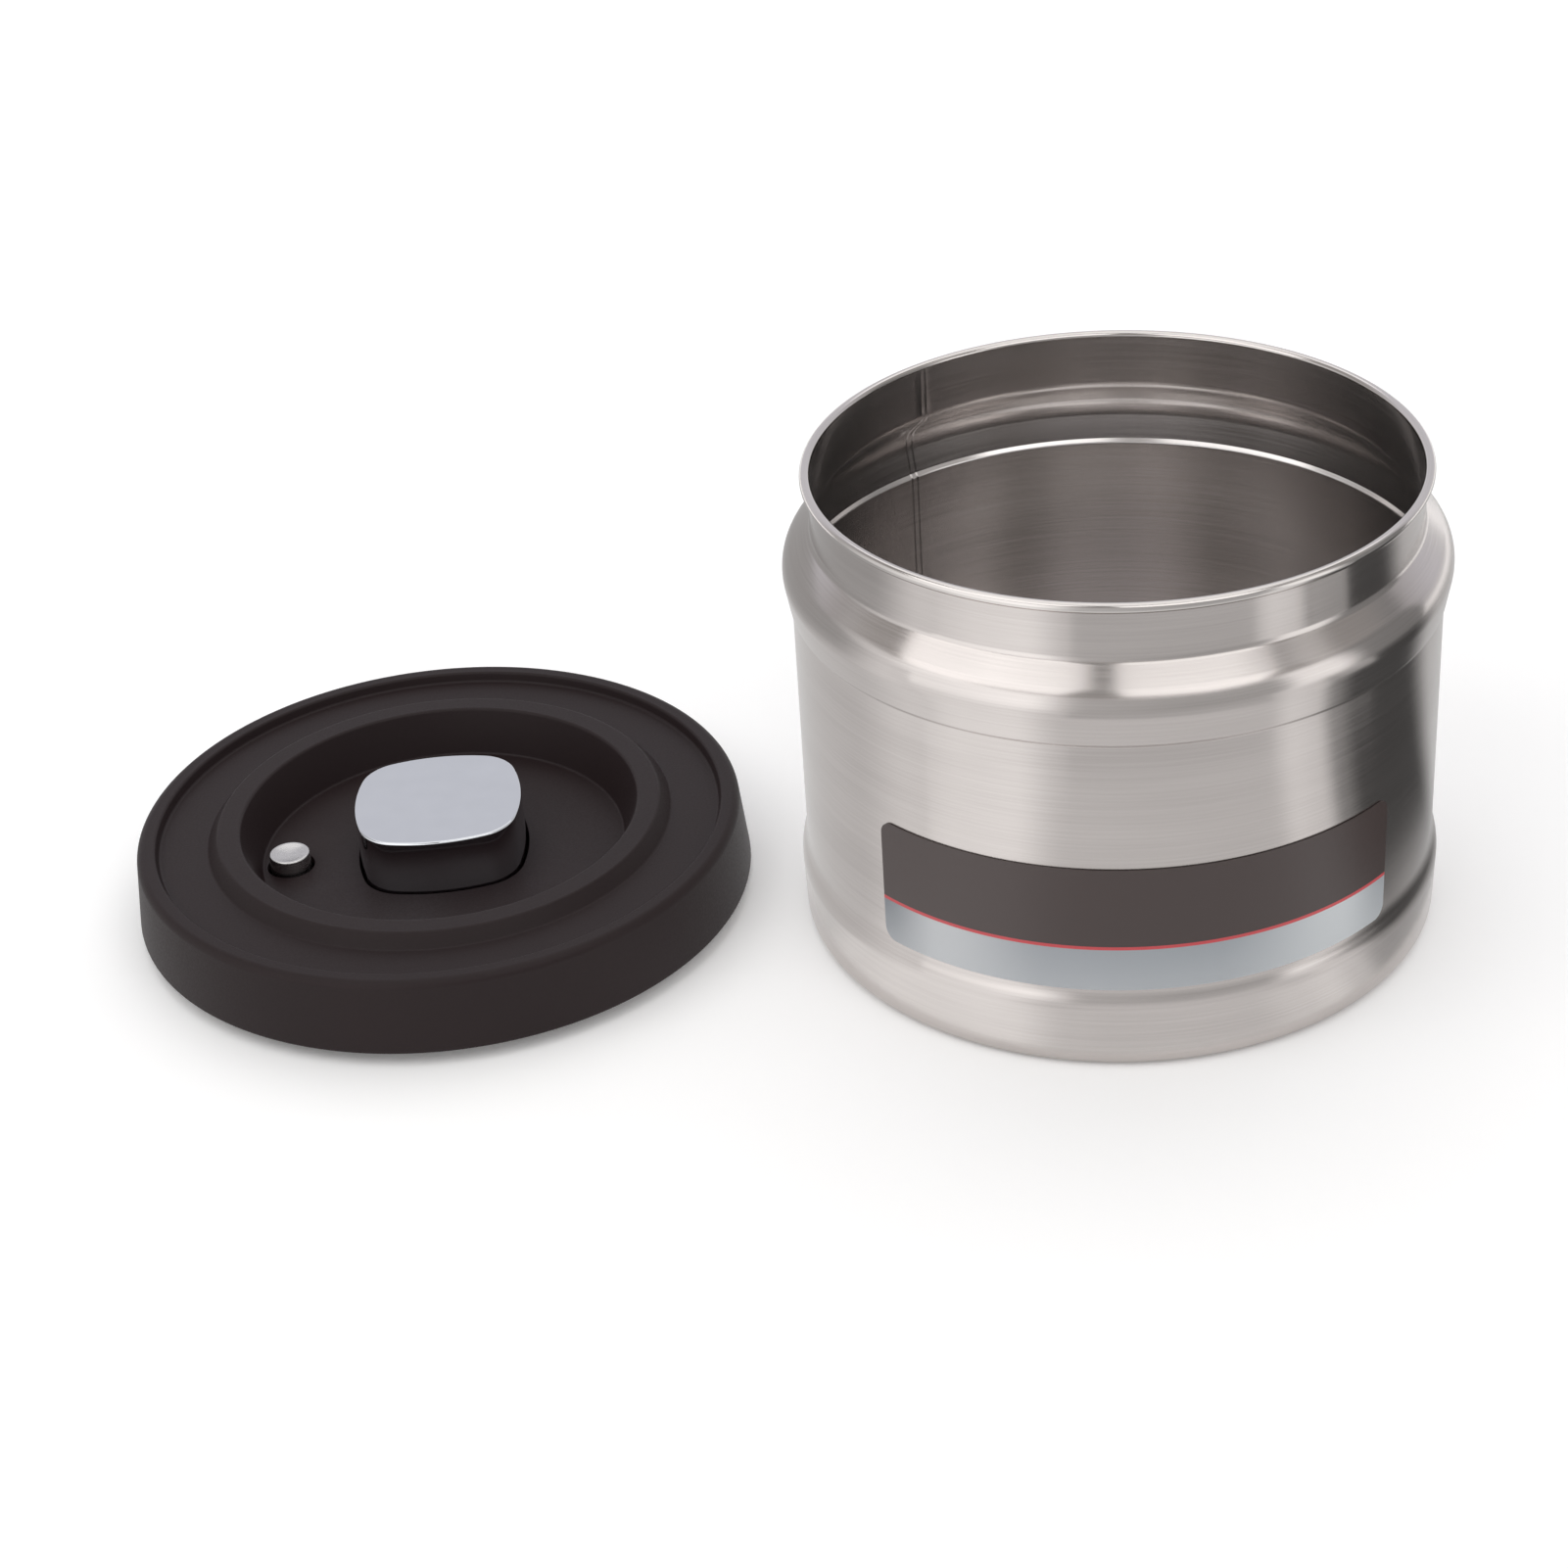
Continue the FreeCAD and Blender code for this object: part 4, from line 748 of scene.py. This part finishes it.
cap_mesh, _ = turned(cap_outline + dish_points[1:], VALVE, EVEN[::2], closed=False)
to_piece(cap_mesh, "valve_cap", [turned_aluminium],
         "release_button", "release_cap", CAP_SHARP_DEG)

# %% [markdown]
# ## Gasket
# The seal round the plug is a silicone ring with two soft fins that lean up and touch the neck.

# %% Silicone gasket
gasket_low, gasket_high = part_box("lid_gasket")
GASKET_TIP = (gasket_high.x - gasket_low.x) / 2 / MM
GASKET_IN = GASKET_TIP - 4.54
GASKET_BODY, GASKET_LIP = GASKET_IN + 2.1, 0.6
GASKET_ROUND, FIN_ROUND, TIP_ROUND, FIN_HOLD = 0.3, 0.2, 0.15, 0.02
FIN_SHARES = ((0.10, 0.32, 0.30), (0.58, 0.80, 0.78))
low_z, high_z = heights("lid_gasket")
gasket_outline = [(GASKET_IN, low_z), (GASKET_BODY, low_z, GASKET_ROUND)]
for shares in FIN_SHARES:
    under, tip, over = (low_z + (high_z - low_z) * share for share in shares)
    gasket_outline += [
        (GASKET_BODY, under, FIN_ROUND), (GASKET_TIP, tip, TIP_ROUND),
        (GASKET_TIP, tip + GASKET_LIP, TIP_ROUND), (GASKET_BODY, over + GASKET_LIP, FIN_ROUND),
    ]
gasket_outline += [(GASKET_BODY, high_z, GASKET_ROUND), (GASKET_IN, high_z)]
gasket_mesh, _ = turned(rounded(gasket_outline, closed=True, hold=FIN_HOLD), LID)
to_piece(gasket_mesh, "gasket_ring", [silicone], "lid", "lid_gasket")

# %% [markdown]
# ## Springs
# Two coils of wire push the button and the valve back up. A coil follows a rule, so it is a job for
# Geometry Nodes: a spiral curve with a round section. The tree has named inputs, and one helper runs
# a tree on an empty mesh and keeps the plain result.

# %% Geometry Nodes: run a tree, and the coil


def new_tree(name, inputs):
    """A Geometry Nodes tree, and its named inputs as sockets."""
    tree = bpy.data.node_groups.new(name, "GeometryNodeTree")
    tree.interface.new_socket("Geometry", in_out="OUTPUT", socket_type="NodeSocketGeometry")
    for name_shown, kind in inputs.items():
        tree.interface.new_socket(name_shown, in_out="INPUT", socket_type="NodeSocket" + kind)
    return tree, add_node(tree, "NodeGroupInput").outputs


def moved(tree, geometry, **inputs):
    """Geometry moved or turned."""
    return add_node(tree, "GeometryNodeTransform", {"Geometry": geometry, **inputs}).outputs["Geometry"]


def end_tree(tree, geometry, material_socket):
    """Ends a tree: instances made real, and the material."""
    real = add_node(tree, "GeometryNodeRealizeInstances", {"Geometry": geometry})
    finished = add_node(tree, "GeometryNodeSetMaterial", {
        "Geometry": real.outputs["Geometry"], "Material": material_socket,
    })
    add_node(tree, "NodeGroupOutput", {"Geometry": finished.outputs["Geometry"]})


def grow(name, tree, values, sharp_deg=40):
    """Runs a tree with its inputs set by name, and keeps the result as a plain mesh."""
    holder = in_scene(name + "_holder", bpy.data.meshes.new(name + "_holder"))
    modifier = holder.modifiers.new("grow", "NODES")
    modifier.node_group = tree
    for item in tree.interface.items_tree:
        if item.item_type == "SOCKET" and item.in_out == "INPUT":
            modifier[item.identifier] = values[item.name]
    graph = bpy.context.evaluated_depsgraph_get()
    data = bpy.data.meshes.new_from_object(holder.evaluated_get(graph))
    bpy.data.objects.remove(holder)
    data.name = name
    return place_mesh(data, name, sharp_deg)


coil_tree, coil_in = new_tree("coil_spring", {
    "Foot": "Vector", "Turns": "Float", "Radius": "Float",
    "Height": "Float", "Wire": "Float", "Material": "Material",
})
COIL_STEPS, WIRE_STEPS = 48, 16
spiral = add_node(coil_tree, "GeometryNodeCurveSpiral", {
    "Resolution": COIL_STEPS, "Rotations": coil_in["Turns"], "Start Radius": coil_in["Radius"],
    "End Radius": coil_in["Radius"], "Height": coil_in["Height"],
})
wire_round = add_node(coil_tree, "GeometryNodeCurvePrimitiveCircle", {
    "Resolution": WIRE_STEPS, "Radius": coil_in["Wire"],
})
wire = add_node(coil_tree, "GeometryNodeCurveToMesh", {
    "Curve": spiral.outputs["Curve"], "Profile Curve": wire_round.outputs["Curve"], "Fill Caps": True,
})
coil = moved(coil_tree, wire.outputs["Mesh"], Translation=coil_in["Foot"])
end_tree(coil_tree, coil, coil_in["Material"])
print("coil tree of", len(coil_tree.nodes), "nodes")

# %% The two springs


def spring(name, node, axis, turns, wire_mm):
    """A coil in the place of a CAD spring."""
    low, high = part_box(node)
    radius = (high.x - low.x) / 2 - wire_mm / 2 * MM
    height = high.z - low.z - wire_mm * MM
    foot = Vector((axis[0] * MM, axis[1] * MM, low.z + wire_mm / 2 * MM))
    piece = grow(name, coil_tree, {
        "Foot": foot, "Turns": turns, "Radius": radius, "Height": height, "Wire": wire_mm / 2 * MM,
        "Material": spring_wire,
    })
    dress(piece, "lid", node)
    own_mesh(piece)


spring("pump_coil", "pump_spring", LID, turns=5.0, wire_mm=0.9)
spring("valve_coil", "release_spring", VALVE, turns=6.0, wire_mm=0.5)

# %% [markdown]
# ## Screws
# Four screws hold the plug to the cover from below. They repeat round a circle, so one screw with a
# cross recess is built in a tree and set on the points of a circle. The recess is cut by a Boolean
# from two crossed bars, and each head has a small crown.

# %% Screws on a circle
screw_low, screw_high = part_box("lid_screws")
SCREW_HEAD_R, RECESS_LONG, RECESS_WIDE, RECESS_DEEP = 2.6, 3.2, 0.7, 0.5
CROWN_SHARE, CROWN_STEPS, HEAD_SIDES, SHANK_SIDES, SCREW_SHARP_DEG = 0.84, 3, 48, 32, 35

screw_tree, screw_in = new_tree("screw_ring", {
    "Centre": "Vector", "Count": "Int", "Circle": "Float",
    "Turn": "Vector", "Head radius": "Float", "Head": "Float",
    "Head foot": "Vector", "Shank radius": "Float", "Length": "Float",
    "Shank middle": "Vector", "Bar": "Vector", "Cross bar": "Vector",
    "Material": "Material",
})
head = add_node(screw_tree, "GeometryNodeMeshCone", {
    "Vertices": HEAD_SIDES, "Side Segments": CROWN_STEPS, "Radius Top": screw_in["Head radius"],
    "Radius Bottom": maths(screw_tree, "MULTIPLY", screw_in["Head radius"], CROWN_SHARE),
    "Depth": screw_in["Head"],
})
recess = add_node(screw_tree, "GeometryNodeMeshBoolean", {
    "Mesh 1": moved(screw_tree, head.outputs["Mesh"], Translation=screw_in["Head foot"]),
}, operation="DIFFERENCE", solver="EXACT")
for name in ("Bar", "Cross bar"):
    bar = add_node(screw_tree, "GeometryNodeMeshCube", {"Size": screw_in[name]})
    bar_place = moved(screw_tree, bar.outputs["Mesh"], Translation=screw_in["Head foot"])
    screw_tree.links.new(bar_place, recess.inputs["Mesh 2"])
shank = add_node(screw_tree, "GeometryNodeMeshCylinder", {
    "Vertices": SHANK_SIDES, "Radius": screw_in["Shank radius"], "Depth": screw_in["Length"],
})
shank_place = moved(screw_tree, shank.outputs["Mesh"], Translation=screw_in["Shank middle"])
one_screw = add_node(screw_tree, "GeometryNodeJoinGeometry")
for part in (recess.outputs["Mesh"], shank_place):
    screw_tree.links.new(part, one_screw.inputs["Geometry"])
circle = add_node(screw_tree, "GeometryNodeMeshCircle", {
    "Vertices": screw_in["Count"], "Radius": screw_in["Circle"],
})
spots = moved(screw_tree, circle.outputs["Mesh"], Translation=screw_in["Centre"], Rotation=screw_in["Turn"])
screw_set = add_node(screw_tree, "GeometryNodeInstanceOnPoints", {
    "Points": spots, "Instance": one_screw.outputs["Geometry"],
})
end_tree(screw_tree, screw_set.outputs["Instances"], screw_in["Material"])

seat_z = screw_low.z + SCREW_HEAD * MM
shank_length = screw_high.z - seat_z
screws = grow("lid_screw_set", screw_tree, {
    "Centre": Vector((LID[0] * MM, LID[1] * MM, 0)), "Count": SCREW_COUNT, "Circle": SCREW_CIRCLE_R * MM,
    "Turn": Vector((0, 0, SCREW_TURN)), "Head radius": SCREW_HEAD_R * MM, "Head": SCREW_HEAD * MM,
    "Head foot": Vector((0, 0, screw_low.z)), "Shank radius": SCREW_R * MM, "Length": shank_length,
    "Shank middle": Vector((0, 0, seat_z + shank_length / 2)), "Material": zinc_steel,
    "Bar": Vector((RECESS_LONG, RECESS_WIDE, 2 * RECESS_DEEP)) * MM,
    "Cross bar": Vector((RECESS_WIDE, RECESS_LONG, 2 * RECESS_DEEP)) * MM,
}, SCREW_SHARP_DEG)
dress(screws, "lid", "lid_screws")

# %% [markdown]
# ## Finishes of the solids that stay
# The plug and the inner pieces of the pump and the valve keep their CAD solids, because nothing but
# their finish is missing.

# %% Finishes on CAD nodes
KEPT = {
    "inner_lid": plug_abs, "cylinder_collar": white_acetal, "pump_plunger": white_acetal,
    "release_stem": white_acetal, "plunger_screw": zinc_steel, "inlet_filter": zinc_steel,
    "inlet_valve": silicone, "outlet_valve": silicone, "piston_seal": silicone, "release_seal": silicone,
}
for node_name, finish in KEPT.items():
    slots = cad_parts[node_name].data.materials
    slots.clear()
    slots.append(finish)
print("finishes on", len(KEPT), "solids")

# %% [markdown]
# ## Table
# The set is a white table. It is lit like the object, and for the eye and for mirrors it glows a
# little more, so that it comes out white without more light on the object. Shadows stay. Far away,
# where the lamps don't reach, it glows more, so that a low view has no grey strip behind the object.

# %% White table
FLOOR_HALF, FLOOR_LIFT, FAR_LIFT = 12.0, 0.14, 0.8
FAR_SPAN = (500 * MM, 1500 * MM)


def flat(name, points, faces, material):
    """A plain mesh in the scene, with its material."""
    data = bpy.data.meshes.new(name)
    data.from_pydata(points, [], faces)
    data.materials.append(material)
    return in_scene(name, data)


floor_corners = [(x * FLOOR_HALF, y * FLOOR_HALF, 0) for x, y in ((-1, -1), (1, -1), (1, 1), (-1, 1))]
floor_material, tree, shader, place = new_material("table_white_matte")
rays = add_node(tree, "ShaderNodeLightPath").outputs
seen = maths(tree, "MAXIMUM", rays["Is Camera Ray"], rays["Is Glossy Ray"])
seen = maths(tree, "MAXIMUM", seen, rays["Is Transmission Ray"])
glow = fade(tree, reach(tree, place), FAR_SPAN, FLOOR_LIFT, FAR_LIFT)
fill(tree, shader, {
    "Base Color": linear("#FAFAFA"), "Roughness": 0.9, "Specular IOR Level": 0.0,
    "Emission Color": linear("#FFFFFF"), "Emission Strength": maths(tree, "MULTIPLY", seen, glow),
})
floor = flat("table", floor_corners, [(0, 1, 2, 3)], floor_material)
print("table", 2 * FLOOR_HALF, "m wide")

# %% [markdown]
# ## Cards
# Brushed steel shows its surroundings as upright bands, so a photographer sets white, grey and black
# card round it, out of the picture. Here the cards glow instead of reflecting lamp light, and only
# reflections see them, so they are painted reflections. A ring of card lies on the table and a wall of
# card stands round its front. Both glow by bearing, white at the left front, then grey, a narrow white
# and a dark at the right. Near the canister the ring has a glow of its own, for the foot, and farther
# out two grey cards lie on it. One more glowing card stands between canister and lid, so that the
# steel shows a painted reflection there and doesn't mirror the dark lid. Its tones change softly.

# %% Ring and wall of glowing card for painted reflections, and the standing card
CARD_IN_MM, CARD_OUT_MM, CARD_LIFT_MM, PATCH_LIFT_MM = 73, 420, 0.4, 0.8
RING_EDGE, PATCH_EDGE = (CARD_OUT_MM, CARD_LIFT_MM), (CARD_OUT_MM, PATCH_LIFT_MM)
TOP_TONE = 1.7
RING_TONES = {
    -150: 0.70, -106: 0.70, -86: 0.78, -72: 0.92, -58: 1.10, -44: 1.24, -28: 1.29, -13: 0.87, 45: 0.82,
    52: 1.08, 61: 0.98, 68: 0.32, 76: 0.08, 102: 0.08, 120: 0.66, 150: 0.70,
}
FOOT_TONES = {
    -150: 0.84, -75: 0.80, -60: 1.05, -46: 1.20, -20: 1.27, -8: 0.92, 0: 0.88, 28: 0.86, 38: 1.00, 46: 1.10,
    54: 0.84, 62: 0.46, 90: 0.56, 150: 0.84,
}
FOOT_SPAN = (70 * MM, 112 * MM)
WALL_TONES = {
    -105: 0.60, -80: 1.00, -62: 1.42, -26: 1.66, -8: 0.66, 25: 0.55, 48: 0.55, 58: 1.48, 70: 1.48, 82: 0.32,
    110: 0.28,
}
WALL_HIGH_MM = 320
GREY_CARD, GREY_IN_MM, GREY_TONE = (-13, 46), 190, 0.64
SIDE_CARD, SIDE_IN_MM, SIDE_TONE = (67, 83), 200, 0.58
STANDING_X_MM, STANDING_Y_MM, STANDING_Z_MM = -76.5, (-72, 110), (1, 96)
STANDING_FRONT, STANDING_LOW, STANDING_HIGH = 1.02, 0.76, 0.48
FRONT_SPAN, END_SPAN, HIGH_SPAN = (-62 * MM, -36 * MM), (50 * MM, 110 * MM), (64 * MM, 84 * MM)
STEP_DEG, LEAST_STEPS = 5, 6


def card(name, points, faces, tone):
    """A glowing card, a painted reflection: it lights nothing and shows only in reflections. It returns what
    its glow needs.
    """
    # The card's material is an emission, not ink: its glow paints the card's reflection in the steel.
    material, tree, shader, place = new_material(name + "_print")
    fill(tree, shader, {
        "Base Color": linear("#000000"), "Specular IOR Level": 0.0,
        "Emission Color": linear("#FFFFFF"), "Emission Strength": tone,
    })
    piece = flat(name, [Vector(point) * MM for point in points], faces, material)
    piece.visible_camera = piece.visible_diffuse = piece.visible_shadow = False
    piece.visible_transmission = piece.visible_volume_scatter = False
    return tree, shader, place


def sector(bearings, first_edge, last_edge):
    """Points and faces of a bent strip between two edges (radius, height), over bearings from the front."""
    start, end = bearings
    steps = max(LEAST_STEPS, round((end - start) / STEP_DEG))
    points = []
    for n in range(steps + 1):
        turn = math.radians(start + (end - start) * n / steps)
        for radius, height in (first_edge, last_edge):
            points.append((radius * math.sin(turn), -radius * math.cos(turn), height))
    return points, [(2 * n, 2 * n + 1, 2 * n + 3, 2 * n + 2) for n in range(steps)]


def by_bearing(tree, place, tones):
    """Greys by bearing, in degrees from the front towards +X, as shares of the top tone."""
    spot = axes(tree, place)
    bearing = maths(tree, "ARCTAN2", spot["X"], maths(tree, "MULTIPLY", spot["Y"], -1.0))
    greys = {degrees / 360 + 0.5: (*[tone / TOP_TONE] * 3, 1) for degrees, tone in tones.items()}
    return ramp(tree, spread(tree, bearing, (-math.pi, math.pi), 0.0, 1.0), greys)


# Each card below glows, and shows in the steel only as a painted reflection.
card("grey_card", *sector(GREY_CARD, (GREY_IN_MM, PATCH_LIFT_MM), PATCH_EDGE), GREY_TONE)
card("side_card", *sector(SIDE_CARD, (SIDE_IN_MM, PATCH_LIFT_MM), PATCH_EDGE), SIDE_TONE)
ring = sector((-180, 180), (CARD_IN_MM, CARD_LIFT_MM), RING_EDGE)
tree, shader, place = card("ring_card", *ring, TOP_TONE)
card_glows = [by_bearing(tree, place, tones) for tones in (FOOT_TONES, RING_TONES)]
outward = fade(tree, reach(tree, place), FOOT_SPAN)
fill(tree, shader, {"Emission Color": mix(tree, outward, *card_glows)})
wall = sector((min(WALL_TONES), max(WALL_TONES)), RING_EDGE, (CARD_OUT_MM, WALL_HIGH_MM))
tree, shader, place = card("wall_card", *wall, TOP_TONE)
fill(tree, shader, {"Emission Color": by_bearing(tree, place, WALL_TONES)})
(near, far), (low, high) = STANDING_Y_MM, STANDING_Z_MM
standing_corners = [(STANDING_X_MM, y, z) for y, z in ((near, low), (far, low), (far, high), (near, high))]
tree, shader, place = card("standing_card", standing_corners, [(0, 1, 2, 3)], STANDING_LOW)
spot = axes(tree, place)
upward = fade(tree, spot["Z"], HIGH_SPAN, STANDING_LOW, STANDING_HIGH)
fill(tree, shader, {
    "Emission Strength": fade(tree, spot["Y"], FRONT_SPAN, STANDING_FRONT, upward),
    "Alpha": fade(tree, spot["Y"], END_SPAN, 1.0, 0.0),
})
print("cards with", len(RING_TONES), len(FOOT_TONES), "and", len(WALL_TONES), "tones, and a standing card")

# %% [markdown]
# ## Room and lamps
# Two large softboxes hang over the front, with a narrow gap between them that the shoulder shows as
# a dark slit, a third one overhead lights the table, and a dim narrow strip hangs at the right. The
# world is the room: dark in front, a soft grey at the sides and above, and a cool pale wall behind
# the object, which the flat top of the button mirrors. Just above the table it is pale all round, so
# that a low view has a plain background.

# %% Room
RAISED_SPAN, OVERHEAD_SPAN, LOW_SPAN = (0.30, 0.55), (0.62, 0.80), (0.07, 0.16)
ASIDE_SPAN, BEHIND_SPAN = (-0.75, -0.35), (0.25, 0.7)
IN_FRONT, AROUND_IT, BEHIND, OVERHEAD, LOW_DOWN = "#4A4645", "#B4B1AF", "#E8E8EE", "#989796", "#EDEDEF"
world = bpy.data.worlds.new("studio_room")
scene.world = world
world.use_nodes = True
room = world.node_tree
way = axes(room, add_node(room, "ShaderNodeTexCoord").outputs["Generated"])
lit = maths(room, "MAXIMUM", fade(room, way["Z"], RAISED_SPAN), fade(room, way["Y"], ASIDE_SPAN))
tone = mix(room, lit, IN_FRONT, AROUND_IT)
tone = mix(room, fade(room, way["Y"], BEHIND_SPAN), tone, BEHIND)
tone = mix(room, fade(room, way["Z"], OVERHEAD_SPAN), tone, OVERHEAD)
tone = mix(room, fade(room, way["Z"], LOW_SPAN, 1.0, 0.0), tone, LOW_DOWN)
fill(room, room.nodes["Background"], {"Color": tone, "Strength": 1.0})
print("room of", len(room.nodes), "nodes")

# %% Softboxes
LAMP_FAR = 3.0


def softbox(name, turn_deg, rise_deg, half_deg, roll_deg, radiance):
    """A rectangular lamp aimed at the canister, as wide, rolled and bright as it looks from there."""
    turn, rise = math.radians(turn_deg), math.radians(rise_deg)
    way = Vector((math.sin(turn) * math.cos(rise), -math.cos(turn) * math.cos(rise), math.sin(rise)))
    lamp = bpy.data.lights.new(name, "AREA")
    lamp.shape = "RECTANGLE"
    lamp.size, lamp.size_y = (2 * LAMP_FAR * math.tan(math.radians(half)) for half in half_deg)
    lamp.energy = radiance * math.pi * lamp.size * lamp.size_y
    holder = in_scene(name, lamp)
    holder.location = way * LAMP_FAR
    roll = Quaternion((0, 0, 1), math.radians(roll_deg))
    holder.rotation_euler = (way.to_track_quat("Z", "Y") @ roll).to_euler()
    print(f"{name}: {lamp.energy:.1f} W")


softbox("softbox_left", turn_deg=-54.2, rise_deg=50, half_deg=(24.0, 15), roll_deg=20, radiance=1.42)
softbox("softbox_right", turn_deg=33.4, rise_deg=50, half_deg=(19.8, 15), roll_deg=-20, radiance=1.42)
softbox("softbox_top", turn_deg=180, rise_deg=75, half_deg=(30, 30), roll_deg=0, radiance=1.05)
softbox("strip_right", turn_deg=83, rise_deg=48, half_deg=(5, 10), roll_deg=0, radiance=0.45)
